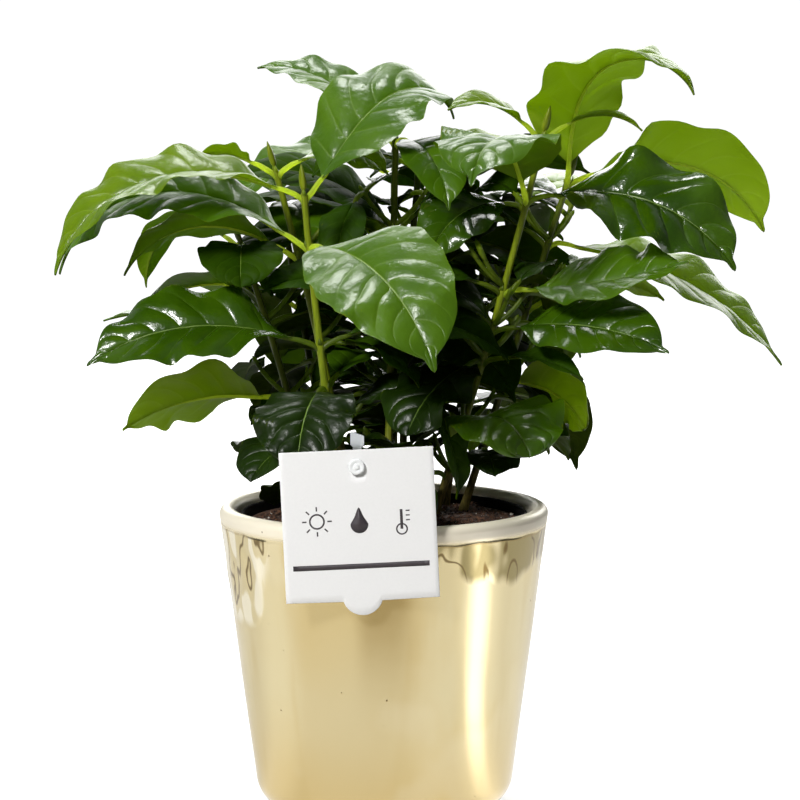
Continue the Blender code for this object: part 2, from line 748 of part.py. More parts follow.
def build_pair(name, number, leaves, collection):
    """A collar round the stem with its leaves fused on."""
    seedling = SEEDLINGS[name]
    centre, ahead, radius = collar_frame(seedling, seedling.pairs[number - 1] * MM)
    bpy.ops.mesh.primitive_torus_add(
        major_segments=COLLAR_SIDES,
        minor_segments=4,
        major_radius=radius / math.cos(math.pi / COLLAR_SIDES),
        minor_radius=COLLAR_TUBE,
    )
    collar = bpy.context.object
    collar.matrix_world = Matrix.Translation(centre) @ Vector(ahead).to_track_quat("Z", "Y").to_matrix().to_4x4()
    pieces = [collar]
    for root, leaf in leaves:
        verts, faces = leaf_mesh(root, leaf)
        pieces.append(add_mesh("leaf", verts, faces, collection))
    return join_all(f"leaves_{name}_{number}", pieces, "leaf_green", collection)


def main():
    clear_scene()
    collection = new_collection("potted_coffee_plant")
    cutters = new_collection("cutters")
    build_pot(collection)
    build_nursery_pot(collection)
    build_soil(collection)
    build_card(collection, cutters)
    build_stick(collection)
    for name, seedling in SEEDLINGS.items():
        build_stem(name, seedling, collection)
    for (name, number), leaves in arrange_leaves().items():
        build_pair(name, number, leaves, collection)


main()
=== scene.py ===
"""A young coffee plant in a gold-glazed pot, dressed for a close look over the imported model.

Ten coffee seedlings stand in one black nursery pot of dark soil, inside a glazed outer pot. A plain care
card hangs on a clear stick at the front. Everything is in metres, and the origin is the centre of the pot's
flat underside.
"""

import math
import random
from typing import NamedTuple

import bpy
import numpy as np
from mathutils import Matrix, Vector
from mathutils.bvhtree import BVHTree


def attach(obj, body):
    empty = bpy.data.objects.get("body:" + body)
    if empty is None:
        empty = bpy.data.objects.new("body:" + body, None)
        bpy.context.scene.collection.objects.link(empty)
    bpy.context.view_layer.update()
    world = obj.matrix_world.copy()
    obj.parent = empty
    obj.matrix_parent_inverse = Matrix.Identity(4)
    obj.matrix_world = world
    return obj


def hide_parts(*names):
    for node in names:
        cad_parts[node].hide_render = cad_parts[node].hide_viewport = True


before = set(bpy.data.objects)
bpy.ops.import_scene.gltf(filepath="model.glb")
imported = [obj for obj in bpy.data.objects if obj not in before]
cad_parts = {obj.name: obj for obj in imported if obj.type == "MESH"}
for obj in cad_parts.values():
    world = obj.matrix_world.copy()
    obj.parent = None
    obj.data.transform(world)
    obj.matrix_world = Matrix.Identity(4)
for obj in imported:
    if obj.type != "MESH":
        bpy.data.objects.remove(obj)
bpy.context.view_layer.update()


# Camera. The photographer stood back with a long lens, a little above the pot's rim, and looked slightly down
# on a plant that was lit by windows behind it.
CAMERA_PLACE = (0.0068, -1.2, 0.309)
CAMERA_DIP = math.radians(6.4)
FOCAL_PIXELS = 2841
PHOTO_PIXELS = 800
SENSOR = 36

lens = bpy.data.cameras.new("long_lens")
lens.sensor_width = SENSOR
lens.lens = FOCAL_PIXELS / PHOTO_PIXELS * SENSOR
camera = bpy.data.objects.new("camera", lens)
camera.location = CAMERA_PLACE
camera.rotation_euler = (math.pi / 2 - CAMERA_DIP, 0, 0)
bpy.context.scene.collection.objects.link(camera)
bpy.context.scene.camera = camera


# Outer pot. Slip-cast earthenware with a thick rounded lip, tapering to a rounded foot. It is glazed inside
# and out with a pale gold lustre, a little uneven from the firing, and its flat underside is bare clay. The
# lustre also carries painted reflections and painted shade under the lip, and painted shade at the foot.
POT_HEIGHT = 0.130
POT_RIM_RADIUS = 0.070
POT_WALL_SLOPE = 0.127
POT_FOOT_ROUNDING = 0.014
POT_LIP = 0.007
POT_WALL = 0.005
POT_FLOOR = 0.007
POT_SEGMENTS = 224
GLAZE_SWELL = 0.00010
GLAZE_RUNS = 0.00032
BLACK = (0, 0, 0)


class Wire:
    """An output that carries a number through a material. Arithmetic on it adds Math nodes."""

    def __init__(self, finish, socket):
        self.finish = finish
        self.socket = socket

    def math(self, operation, first, second):
        return self.finish.node("ShaderNodeMath", {"operation": operation}, {0: first, 1: second})

    def __add__(self, other):
        return self.math("ADD", self, other)

    __radd__ = __add__

    def __sub__(self, other):
        return self.math("SUBTRACT", self, other)

    def __rsub__(self, other):
        return self.math("SUBTRACT", other, self)

    def __mul__(self, other):
        return self.math("MULTIPLY", self, other)

    __rmul__ = __mul__

    def to_and_fro(self, size):
        """Rises from 0 to a size and falls again, over and over."""
        return self.math("PINGPONG", self, size)

    def step(self, low, high):
        """0 below low and 1 above high, with a smooth rise between."""
        settings = {"interpolation_type": "SMOOTHSTEP"}
        return self.finish.node("ShaderNodeMapRange", settings, {0: self, 1: low, 2: high})


class Finish:
    """A material's nodes, or the studio's surroundings, built by one method that adds any node."""

    def __init__(self, name, owner=None):
        self.owner = owner or bpy.data.materials.new(name)
        self.owner.use_nodes = True
        self.tree = self.owner.node_tree
        self.tree.nodes.clear()

    def node(self, kind, settings, sockets, out=0):
        """Adds a node with values or wires on its sockets. A colour is three numbers."""
        made = self.tree.nodes.new(kind)
        for name, value in settings.items():
            setattr(made, name, value)
        for name, value in sockets.items():
            socket = made.inputs[name]
            if isinstance(value, Wire):
                self.tree.links.new(value.socket, socket)
            else:
                socket.default_value = (*value, 1) if socket.type == "RGBA" else value
        return Wire(self, made.outputs[out]) if made.outputs else None

    def place(self, upright=1):
        """The piece's own coordinates. A share of the height draws a pattern out upwards."""
        at = self.node("ShaderNodeTexCoord", {}, {}, "Object")
        if upright == 1:
            return at
        return self.node("ShaderNodeMapping", {}, {"Vector": at, "Scale": (1, 1, upright)})

    def tint(self, share, first, second):
        """A colour that goes from the first to the second as share goes from 0 to 1."""
        return self.node("ShaderNodeMix", {"data_type": "RGBA"}, {0: share, 6: first, 7: second}, 2)

    def noise(self, scale, detail=2.0, roughness=0.5, place=None):
        """Cloudy noise on the piece's own coordinates."""
        sockets = {"Vector": place or self.place(), "Scale": scale, "Detail": detail, "Roughness": roughness}
        return self.node("ShaderNodeTexNoise", {}, sockets)

    def split(self, vector):
        """The three numbers of a vector."""
        parts = self.node("ShaderNodeSeparateXYZ", {}, {0: vector}).socket.node
        return [Wire(self, part) for part in parts.outputs]

    def height(self):
        """How high a point of the piece is."""
        return self.split(self.place())[2]

    def bump(self, relief, strength, distance):
        return self.node("ShaderNodeBump", {}, {"Strength": strength, "Distance": distance, "Height": relief})

    def coat(self, **values):
        """A Principled shader with these values or wires on its sockets."""
        sockets = {name.replace("_", " "): value for name, value in values.items()}
        return self.node("ShaderNodeBsdfPrincipled", {}, sockets)

    def finished(self, **values):
        """The material whose surface is such a shader."""
        return self.wear(self.coat(**values))

    def lit_through(self, face, share, colour):
        """The coat with a share of the light let through from behind, in a colour."""
        through = self.node("ShaderNodeBsdfTranslucent", {}, {"Color": colour})
        return self.node("ShaderNodeMixShader", {}, {0: share, 1: face, 2: through})

    def wear(self, shader, output="ShaderNodeOutputMaterial"):
        """Shows the shader on the surface and gives the finished material."""
        self.node(output, {}, {"Surface": shader})
        return self.owner


def plain_finish(name, noise, dark, light, rough, rougher, spread=None, relief=None, through=None, **values):
    """A material whose one noise tints between two colours, adds to the roughness and lifts the relief."""
    finish = Finish(name)
    grain = finish.noise(*noise)
    if relief:
        values["Normal"] = finish.bump(grain, *relief)
    values["Base_Color"] = finish.tint(grain.step(*spread) if spread else grain, dark, light)
    shader = finish.coat(Roughness=rough + grain * rougher, **values)
    return finish.wear(finish.lit_through(shader, *through) if through else shader)


def grid_faces(rows, columns, ring_rows=False, ring_columns=False, turned=False):
    """Four-sided faces of points stored row by row. A ring joins its last row or column to its first."""
    i = np.arange(rows if ring_rows else rows - 1)[:, None]
    j = np.arange(columns if ring_columns else columns - 1)[None]
    below = (i + 1) % rows * columns
    beside = (j + 1) % columns
    corners = np.broadcast_arrays(i * columns + j, i * columns + beside, below + beside, below + j)
    quads = np.stack(corners, -1).reshape(-1, 4)
    return quads[:, ::-1] if turned else quads


def fan_faces(centre, rim, turned=False):
    """Triangles from one point to each step of a closed rim."""
    fan = np.stack([np.full(len(rim), centre), rim, np.roll(rim, -1)], -1)
    return fan[:, ::-1] if turned else fan


def tube(rings, ends, turned=False):
    """A tube of rings (rows, columns, 3), its first and last ring closed on one point each."""
    rows, columns = rings.shape[:2]
    around = np.arange(columns)
    faces = [
        grid_faces(rows, columns, ring_columns=True, turned=turned),
        fan_faces(rows * columns, around, turned=not turned),
        fan_faces(rows * columns + 1, around + (rows - 1) * columns, turned=turned),
    ]
    return np.vstack([rings.reshape(-1, 3), ends]), faces


def turns(count):
    """Angles that share out one full turn."""
    return np.linspace(0, math.tau, count, endpoint=False)


def rings_at(radius, height, turn):
    """Points about the Z axis: x = r cos a, y = r sin a, z = height."""
    return np.stack(np.broadcast_arrays(radius * np.cos(turn), radius * np.sin(turn), height), -1)


def make_piece(name, points, faces, finishes, slot, faces_finish=None, pattern=None):
    """A smooth mesh at the origin, from points (n, 3) and a list of face arrays (m, 4) or (m, 3).

    faces_finish gives the number of each face's finish, and pattern each point's place on the veins.
    """
    corners = np.concatenate([f.ravel() for f in faces]).astype(np.int32)
    sizes = np.concatenate([np.full(len(f), f.shape[1]) for f in faces])
    starts = np.concatenate([[0], np.cumsum(sizes)[:-1]]).astype(np.int32)
    mesh = bpy.data.meshes.new(name)
    mesh.vertices.add(len(points))
    mesh.vertices.foreach_set("co", np.asarray(points, np.float32).ravel())
    mesh.loops.add(len(corners))
    mesh.loops.foreach_set("vertex_index", corners)
    mesh.polygons.add(len(sizes))
    mesh.polygons.foreach_set("loop_start", starts)
    mesh.polygons.foreach_set("use_smooth", np.ones(len(sizes), bool))
    if faces_finish is not None:
        mesh.polygons.foreach_set("material_index", np.asarray(faces_finish, np.int32))
    mesh.update(calc_edges=True)
    if pattern is not None:
        veins = mesh.uv_layers.new(name="veins")
        veins.data.foreach_set("uv", np.asarray(pattern, np.float32)[corners].ravel())
    for finish in finishes:
        mesh.materials.append(finish)
    mesh.validate()
    piece = bpy.data.objects.new(name, mesh)
    bpy.context.scene.collection.objects.link(piece)
    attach(piece, "root")
    return piece


def arc(centre, radius, start, end, steps):
    """Points (steps, 2) of a circle's arc in the profile's plane: centre plus radius times cos and sin."""
    turn = np.radians(np.linspace(start, end, steps))
    return np.stack([centre[0] + radius * np.cos(turn), centre[1] + radius * np.sin(turn)], -1)


def along(points, steps):
    """Points spread evenly over a broken line of profile points, by distance along it."""
    points = np.asarray(points, float)
    marks = np.concatenate([[0], np.cumsum(np.linalg.norm(np.diff(points, axis=0), axis=1))])
    even = np.linspace(0, marks[-1], steps)
    return np.stack([np.interp(even, marks, points[:, 0]), np.interp(even, marks, points[:, 1])], -1)


def turn_profile(profile, segments, relief):
    """A profile (n, 2) of radius and height turned about +Z, as points and faces with its two ends closed.

    It runs from a point on the axis, over the top and down the outside, to a point on the axis, and
    relief(a, r, z) is added to the radius.
    """
    turn = turns(segments)[None]
    radius = profile[1:-1, :1]
    height = profile[1:-1, 1:]
    rings = rings_at(radius + relief(turn, radius, height), height, turn)
    return tube(rings, [(0, 0, profile[0, 1]), (0, 0, profile[-1, 1])], turned=True)


def held(numbers):
    """The same numbers, held between 0 and 1."""
    return np.clip(numbers, 0, 1)


def pot_wall_radius(height):
    return POT_RIM_RADIUS - POT_WALL_SLOPE * (POT_HEIGHT - height)


def glaze_relief(turn, radius, height):
    """The glaze's thickness: slow swells all round, and runs that hang under the lip and die out below.

    Swells are products of low sines of the angle and the height. Runs are sharper sines of the angle, bent
    sideways by the height. Both fade to nothing on the lip's top, on the inside and at the foot.
    """
    swell = np.sin(3 * turn + 40 * height + 1.1) + 0.7 * np.sin(7 * turn - 65 * height)
    swell += 0.5 * np.sin(12 * turn + 90 * height + 2.0) + 0.35 * np.sin(2 * turn - 30 * height)
    bend = 0.25 * np.sin(120 * height + 3 * turn)
    runs = np.sin(19 * turn + 6 * bend) * np.sin(11 * turn - 4 * bend + 1.3)
    runs += 0.5 * np.sin(37 * turn + 9 * bend)
    patchy = held(0.5 + 0.8 * np.sin(2 * turn + 0.4))
    hang = np.exp(-(((height - 0.109) / 0.013) ** 2)) * patchy
    outside = held((radius - pot_wall_radius(height) + 0.0030) / 0.002)
    outside = outside * held((height - 0.004) / 0.012) * held((0.1295 - height) / 0.004)
    return (GLAZE_SWELL * swell + GLAZE_RUNS * runs * hang) * outside


lip = POT_LIP / 2
lean = math.degrees(math.atan(POT_WALL_SLOPE))
foot_inset = POT_FOOT_ROUNDING * (1 / math.cos(math.radians(lean)) - POT_WALL_SLOPE)
foot_radius = pot_wall_radius(0) - foot_inset
floor_radius = pot_wall_radius(POT_FLOOR) - POT_WALL - 0.006
lip_centre = (POT_RIM_RADIUS - lip, POT_HEIGHT - lip)
inside_wall = [(floor_radius + 0.006, POT_FLOOR + 0.008), (pot_wall_radius(0.09) - POT_WALL, 0.09)]
inside_wall += [(POT_RIM_RADIUS - POT_LIP, POT_HEIGHT - lip)]
outer_lip = arc(lip_centre, lip, 180, -lean, 28)
foot_arc = arc((foot_radius, POT_FOOT_ROUNDING), POT_FOOT_ROUNDING, -lean, -90, 22)
pot_profile = np.vstack(
    [
        [(0, POT_FLOOR), (floor_radius * 0.5, POT_FLOOR), (floor_radius, POT_FLOOR)],
        along(inside_wall, 30)[:-1],
        outer_lip,
        along([outer_lip[-1], foot_arc[0]], 90)[1:-1],
        foot_arc,
        [(foot_radius * 0.96, 0), (foot_radius * 0.5, 0), (0, 0)],
    ]
)

glaze = Finish("gold_lustre_glaze")
cloud = glaze.noise(16, 3)
glaze_place = glaze.place()
speck = glaze.node("ShaderNodeTexVoronoi", {}, {"Vector": glaze_place, "Scale": 130})
pits = (1 - speck.step(0.035, 0.075)) * glaze.noise(60, 1).step(0.52, 0.58)
streak = glaze.noise(38, 3, 0.6, glaze.place(0.07))
hanging = glaze.place(0.42)
level = glaze.height() + glaze.noise(60, 1) * 0.004
folds = glaze.noise(34, 2.6, 0.55, hanging)
crease = (folds * 6).to_and_fro(0.5)
patch = glaze.noise(15, 0, 0.5, hanging)
east, north, _ = glaze.split(glaze_place)
left_patch = 1 - (east + north * 0.3 + folds * 0.012).step(-0.058, -0.052)
right_patch = (east - north * 0.3 + folds * 0.012).step(0.042, 0.050) * patch.step(0.36, 0.44)
hang = (level + left_patch * 0.022 + folds * 0.024).step(0.1195, 0.1245)
under_lip = hang * (1 - level.step(0.1235, 0.1250)) * (left_patch + right_patch).step(0.2, 0.8)
# Painted reflections: under the lip, left and right, dark lines along the folds, pale flames and a dark cloud
# stand in for the leaves mirrored there. The folds also lift the glaze's real relief.
dark_reflection_lines = (1 - crease.step(0.008, 0.070)) * under_lip
pale_reflection_flames = crease.step(0.20, 0.32) * under_lip
# Painted shade: a thin dark line, in patches, just under the lip's roll.
shade_line_under_lip = level.step(0.1232, 0.1236) * (1 - level.step(0.1240, 0.1245)) * patch.step(0.40, 0.50)
# Painted shade: the lustre turns darker and warmer towards the foot, where it mirrors the floor in the pot's
# shadow. The cloud's warm tint is the glaze's own.
foot_painted_shade = 1 - glaze.height().step(0.004, 0.062)
cloud_tint_and_foot_shade = foot_painted_shade * 0.75 + cloud.step(0.40, 0.75) * 0.22
lustre = glaze.tint(cloud_tint_and_foot_shade, (0.735, 0.630, 0.375), (0.700, 0.520, 0.215))
# Painted reflection: a dark cloud in the right patch under the lip.
dark_reflection_cloud = glaze.noise(60, 2, 0.6, hanging).step(0.38, 0.52) * right_patch * under_lip
lustre = glaze.tint(streak.step(0.50, 0.62) * 0.22, lustre, (0.62, 0.47, 0.19))
lustre = glaze.tint(cloud.step(0.52, 0.62) * 0.20, lustre, (0.86, 0.79, 0.58))
lustre = glaze.tint(pale_reflection_flames * left_patch * 0.8, lustre, (1.0, 0.94, 0.76))
lustre = glaze.tint(dark_reflection_cloud * 0.85, lustre, (0.25, 0.20, 0.075))
lustre = glaze.tint(dark_reflection_lines * 0.90, lustre, (0.15, 0.095, 0.026))
thin_lip = glaze.height().step(0.1215, 0.1250)
lustre = glaze.tint(thin_lip * 0.85, lustre, (0.90, 0.84, 0.71))
lustre = glaze.tint(shade_line_under_lip * 0.55, lustre, (0.30, 0.21, 0.08))
lustre = glaze.tint(pits * 0.75, lustre, (0.16, 0.10, 0.03))
ripple = cloud * 0.6 + glaze.noise(90, 2) * 0.12 - pits * 0.25 + folds * under_lip * 1.5
GOLD = glaze.finished(
    Base_Color=lustre,
    Metallic=0.86 - thin_lip * 0.70,
    Roughness=0.10 + cloud * 0.08 + pits * 0.3 + thin_lip * 0.25,
    Normal=glaze.bump(ripple, 0.35, 0.0009),
)

BARE_CLAY = plain_finish(
    "bare_clay_foot", (320, 3), (0.52, 0.40, 0.28), (0.66, 0.54, 0.40), 0.8, 0.15, relief=(0.4, 0.0004)
)

pot_points, pot_faces = turn_profile(pot_profile, POT_SEGMENTS, glaze_relief)
pot_sizes = [len(f) for f in pot_faces]
underside_ring = (np.arange(pot_sizes[0]) // POT_SEGMENTS >= len(pot_profile) - 5).astype(int)
pot_finish = np.concatenate([underside_ring, np.zeros(pot_sizes[1], int), np.ones(pot_sizes[2], int)])
outer_pot = make_piece("outer_pot", pot_points, pot_faces, [GOLD, BARE_CLAY], "gold_glaze", pot_finish)
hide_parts("pot")


# Nursery pot. Thin black polypropylene, vacuum formed, with a rolled rim band. It stands on the outer pot's
# floor, and its rim ends just under the outer pot's lip.
NURSERY_TOP = 0.1268
NURSERY_RIM_RADIUS = 0.0610
NURSERY_RIM_HEIGHT = 0.0075
NURSERY_FOOT_RADIUS = 0.0420
NURSERY_WALL = 0.0016
NURSERY_BEND = 0.001
BAND_STANDS_OUT = 0.0012
GAP = 0.0003
RIM_ROLL = 0.0008


def nursery_radius(height):
    """Outer radius of the nursery pot's wall below its rim band: a straight taper."""
    share = (height - POT_FLOOR) / (NURSERY_TOP - NURSERY_RIM_HEIGHT - POT_FLOOR)
    return NURSERY_FOOT_RADIUS + (NURSERY_RIM_RADIUS - BAND_STANDS_OUT - NURSERY_FOOT_RADIUS) * share


def rim_ribs(turn, radius, height):
    """Fine upright ribs that the mould left on the rim band."""
    on_band = held((height - NURSERY_TOP + NURSERY_RIM_HEIGHT) / NURSERY_BEND)
    return 0.00006 * np.cos(90 * turn) * on_band * (radius > NURSERY_RIM_RADIUS - 0.0004)


nursery_foot = POT_FLOOR + GAP
nursery_floor = nursery_foot + NURSERY_WALL
band = NURSERY_TOP - NURSERY_RIM_HEIGHT
roll_centre = (NURSERY_RIM_RADIUS - RIM_ROLL, NURSERY_TOP - RIM_ROLL)
inner_floor = nursery_radius(nursery_floor) - NURSERY_WALL
inner_wall = [(inner_floor, nursery_floor + NURSERY_BEND), (nursery_radius(band) - NURSERY_WALL, band)]
foot_bend = nursery_foot + NURSERY_BEND
outer_wall = [(nursery_radius(band), band - NURSERY_BEND), (nursery_radius(foot_bend), foot_bend)]
nursery_profile = np.vstack(
    [
        [(0, nursery_floor), (inner_floor, nursery_floor)],
        along(inner_wall, 8),
        arc(roll_centre, RIM_ROLL, 180, 0, 12),
        [(NURSERY_RIM_RADIUS, band + 0.0012), (NURSERY_RIM_RADIUS, band + 0.0002)],
        [(NURSERY_RIM_RADIUS - 0.0002, band), (nursery_radius(band), band)],
        along(outer_wall, 8),
        [(nursery_radius(nursery_foot) - 0.0005, nursery_foot), (0, nursery_foot)],
    ]
)

BLACK_PLASTIC = plain_finish(
    "black_polypropylene", (180, 3), (0.0025, 0.0022, 0.0020), (0.008, 0.007, 0.006), 0.80, 0.20,
    spread=(0.45, 0.8), relief=(0.15, 0.0003), Specular_IOR_Level=0.06,
)

nursery_points, nursery_faces = turn_profile(nursery_profile, 180, rim_ribs)
grow_pot = make_piece("grow_pot", nursery_points, nursery_faces, [BLACK_PLASTIC], "black_plastic")
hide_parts("nursery_pot")


# Potting soil. Moist dark peat that has settled into a low mound, with loose crumbs, splinters of bark and a
# few pale grains of perlite lying on it.
SOIL_TOP = 0.1228
SOIL_CROWN = 0.0012
SOIL_ROUGHNESS = 0.0011
SOIL_RINGS = 90
SOIL_SEGMENTS = 260
CRUMBS = 2600
SPLINTERS = 260
PERLITE = 70
SOIL_SEED = 5


def soil_height(radius):
    """The soil's top is a low mound that settles toward the wall."""
    return SOIL_TOP + SOIL_CROWN * np.cos(np.minimum(1.0, radius / 0.058) * math.pi / 2)


def crumbly(x, y, seed):
    """Relief from -1 to 1 at points x, y: cosine waves in eight directions at each of five finer sizes."""
    dice = np.random.default_rng(seed)
    total = np.zeros_like(x)
    for octave in range(5):
        for _ in range(8):
            turn, phase = dice.uniform(0, math.tau, 2)
            pace = 230 * 1.9**octave * dice.uniform(0.8, 1.25)
            total += np.cos(pace * (x * np.cos(turn) + y * np.sin(turn)) + phase) * 0.62**octave
    return total / 7


def level_ring(radius, sides, height):
    """Points of a level circle about the Z axis."""
    return rings_at(radius, height, turns(sides))


soil_foot = nursery_floor + GAP
soil_edge = nursery_radius(SOIL_TOP - 0.004) - NURSERY_WALL - GAP
soil_low = nursery_radius(soil_foot) - NURSERY_WALL - GAP
ring_radius = np.linspace(0, soil_edge, SOIL_RINGS)[1:, None]
soil_rings = rings_at(ring_radius, 0.0, turns(SOIL_SEGMENTS)[None])
settled = held((soil_edge - ring_radius) / 0.002)
crumbled = crumbly(soil_rings[..., 0], soil_rings[..., 1], SOIL_SEED)
soil_rings[..., 2] = soil_height(ring_radius) + SOIL_ROUGHNESS * settled * crumbled
soil_base = level_ring(soil_low, SOIL_SEGMENTS, soil_foot)[None]
soil_ends = [(0, 0, float(soil_height(0.0))), (0, 0, soil_foot)]
soil_bed = tube(np.concatenate([soil_rings, soil_base]), soil_ends, turned=True)


def earth_finish(name, dark, light, scale):
    """Damp earth: colour and relief from the same fine noise, with a few moist spots that shine."""
    earth = Finish(name)
    grain = earth.noise(scale, 5, 0.65)
    return earth.finished(
        Base_Color=earth.tint(grain.step(0.38, 0.68), dark, light),
        Roughness=0.95 - earth.noise(140, 2).step(0.58, 0.7) * 0.35,
        Normal=earth.bump(grain, 0.8, 0.0006),
    )


PEAT = earth_finish("moist_peat", (0.012, 0.0055, 0.0030), (0.140, 0.060, 0.028), 700)
BARK = earth_finish("bark_splinter", (0.035, 0.014, 0.007), (0.17, 0.085, 0.045), 500)
GRAINS = earth_finish("perlite", (0.42, 0.37, 0.32), (0.74, 0.70, 0.64), 600)

soil_piece = make_piece("potting_soil_bed", *soil_bed, [PEAT], "potting_soil")
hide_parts("soil")


def scatter(count, size, slimness, sink, seed):
    """Loose bits lying on the soil, as (count x 6, 3) points and a list of (count x 8, 3) faces.

    Each is an eight-sided lump, an octahedron whose corners are pulled by chance, stretched by slimness
    along its length, turned by chance, laid on the mound and sunk in by a share of its size.
    """
    dice = np.random.default_rng(seed)
    corner = np.array([(1, 0, 0), (0, 1, 0), (-1, 0, 0), (0, -1, 0), (0, 0, 1), (0, 0, -1)], float)
    lumps = corner[None] * dice.uniform(0.6, 1.25, (count, 6, 1)) + dice.normal(0, 0.16, (count, 6, 3))
    lumps[:, :, 0] *= slimness
    turn = dice.uniform(0, math.tau, count)[:, None]
    tilt = dice.normal(0, 0.30, count)[:, None]
    x = lumps[:, :, 0] * np.cos(tilt) - lumps[:, :, 2] * np.sin(tilt)
    z = lumps[:, :, 0] * np.sin(tilt) + lumps[:, :, 2] * np.cos(tilt)
    y = lumps[:, :, 1]
    big = size * np.exp(dice.normal(0, 0.38, count))[:, None]
    out = (soil_edge - 0.0018) * np.sqrt(dice.uniform(0, 1, count))[:, None]
    way = dice.uniform(0, math.tau, count)[:, None]
    level = soil_height(out) + SOIL_ROUGHNESS * crumbly(out * np.cos(way), out * np.sin(way), SOIL_SEED)
    place = (
        big * (x * np.cos(turn) - y * np.sin(turn)) + out * np.cos(way),
        big * (x * np.sin(turn) + y * np.cos(turn)) + out * np.sin(way),
        big * z + level + big * (0.5 - sink),
    )
    around = np.arange(4)
    sides = np.vstack([fan_faces(4, around), fan_faces(5, around, turned=True)])
    faces = sides[None] + 6 * np.arange(count)[:, None, None]
    return np.stack(place, -1).reshape(-1, 3), [faces.reshape(-1, 3)]


make_piece("soil_crumbs", *scatter(CRUMBS, 0.00052, 1.2, 0.35, 21), [PEAT], "potting_soil")
make_piece("bark_splinters", *scatter(SPLINTERS, 0.00034, 4.2, 0.2, 22), [BARK], "potting_soil")
make_piece("perlite_grains", *scatter(PERLITE, 0.00055, 1.1, 0.3, 23), [GRAINS], "potting_soil")


# Care card. Stiff white card, die-cut with a round tab at its foot, printed with a plain rule and three care
# signs. A clear moulded stick stands in the soil behind it, and its round-headed pin goes through the card.
CARD_WIDTH = 0.0620
CARD_HEIGHT = 0.0613
CARD_THICKNESS = 0.0006
CARD_CENTRE = (-0.0095, -0.0709, 0.1317)
CARD_TILT = math.radians(2.7)
CARD_TAB_RADIUS = 0.0082
CARD_PIN_DROP = 0.0068
CARD_BOW = 0.0004
PIN_RADIUS = 0.0013
PIN_HEAD_RADIUS = 0.0033
STICK_WIDTH = 0.0056
STICK_DEPTH = 0.0024
STICK_SET_BACK = 0.0178
STICK_ABOVE_PIN = 0.0110
KNOB_HEIGHT = 0.0056
RULE_HEIGHT = 0.0021
INK_LIFT = 0.00003
SIGN_STEPS = 48
BAR_STEPS = 24
STICK_STEPS = 40
WAIST = 0.0010


def on_card(flat):
    """Points of (x across, y up, z out of the card) turned by its tilt and put where the card hangs."""
    x = flat[..., 0]
    y = flat[..., 1]
    out = flat[..., 2] - CARD_BOW * (x / CARD_WIDTH * 2) ** 2
    across = x * math.cos(CARD_TILT) - y * math.sin(CARD_TILT)
    up = x * math.sin(CARD_TILT) + y * math.cos(CARD_TILT)
    return np.stack([across + CARD_CENTRE[0], CARD_CENTRE[1] - out, up + CARD_CENTRE[2]], -1)


def card_outline():
    """The card's edge, anticlockwise from its top left corner: a square with a circle's arc under it."""
    half_width = CARD_WIDTH / 2
    half_height = CARD_HEIGHT / 2
    centre = -half_height + 0.0022
    start = math.degrees(math.asin((half_height + centre + 0.0003) / CARD_TAB_RADIUS))
    tab = arc((0, centre), CARD_TAB_RADIUS, 180 + start, 360 - start, 40)
    left = along([(-half_width, half_height), (-half_width, -half_height)], 20)
    foot_left = along([(-half_width, -half_height), tuple(tab[0])], 12)[1:-1]
    foot_right = along([tuple(tab[-1]), (half_width, -half_height)], 12)[1:-1]
    right = along([(half_width, -half_height), (half_width, half_height)], 20)
    top = along([(half_width, half_height), (-half_width, half_height)], 24)[1:-1]
    return np.vstack([left, foot_left, tab, foot_right, right, top])


def unit(vectors):
    """The same directions with a length of 1."""
    return vectors / np.linalg.norm(vectors, axis=-1, keepdims=True)


edge = card_outline()
pin_place = np.array([0, CARD_HEIGHT / 2 - CARD_PIN_DROP])
from_pin = edge - pin_place
hole = pin_place + (PIN_RADIUS + GAP) * unit(from_pin)
half_card = CARD_THICKNESS / 2
steps_out = (0, 0.1, 0.25, 0.45, 0.65, 0.82, 0.94, 0.997)
ladder = [(share, half_card) for share in steps_out] + [(1.0, half_card * 0.6), (1.0, -half_card * 0.6)]
ladder += [(share, -half_card) for share in reversed(steps_out)]
flat_rows = [(hole + (edge - hole) * share, out) for share, out in ladder]
card_rows = [np.column_stack([row, np.full(len(edge), out)]) for row, out in flat_rows]
card_points = on_card(np.stack(card_rows)).reshape(-1, 3)
card_faces = [grid_faces(len(ladder), len(edge), ring_rows=True, ring_columns=True, turned=True)]

WHITE_CARD = plain_finish(
    "coated_card", (900, 3), (0.79, 0.79, 0.80), (0.835, 0.835, 0.845), 0.42, 0.12, relief=(0.06, 0.0001)
)

care_card = make_piece("care_card", card_points, card_faces, [WHITE_CARD], "white_card")
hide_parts("tag_card")


def printed_rows(rows):
    """Rows of flat points, each with its lift over or under the card's face, put on the card."""
    flat = [np.column_stack([row, np.full(len(row), half_card + lift)]) for row, lift in rows]
    return on_card(np.stack(flat))


def printed_band(near, far):
    """Points of a thin band of ink between two lines of points: both over the face, then both just in it."""
    rows = [(near, INK_LIFT), (far, INK_LIFT), (far, -INK_LIFT), (near, -INK_LIFT)]
    return printed_rows(rows).reshape(-1, 3)


def ring_patch(centre, outer, inner):
    """A printed ring: a band between two circles, joined round."""
    turn = turns(SIGN_STEPS)
    circle = np.stack([np.cos(turn), np.sin(turn)], -1)
    faces = grid_faces(4, SIGN_STEPS, ring_rows=True, ring_columns=True, turned=True)
    return printed_band(centre + inner * circle, centre + outer * circle), [faces]


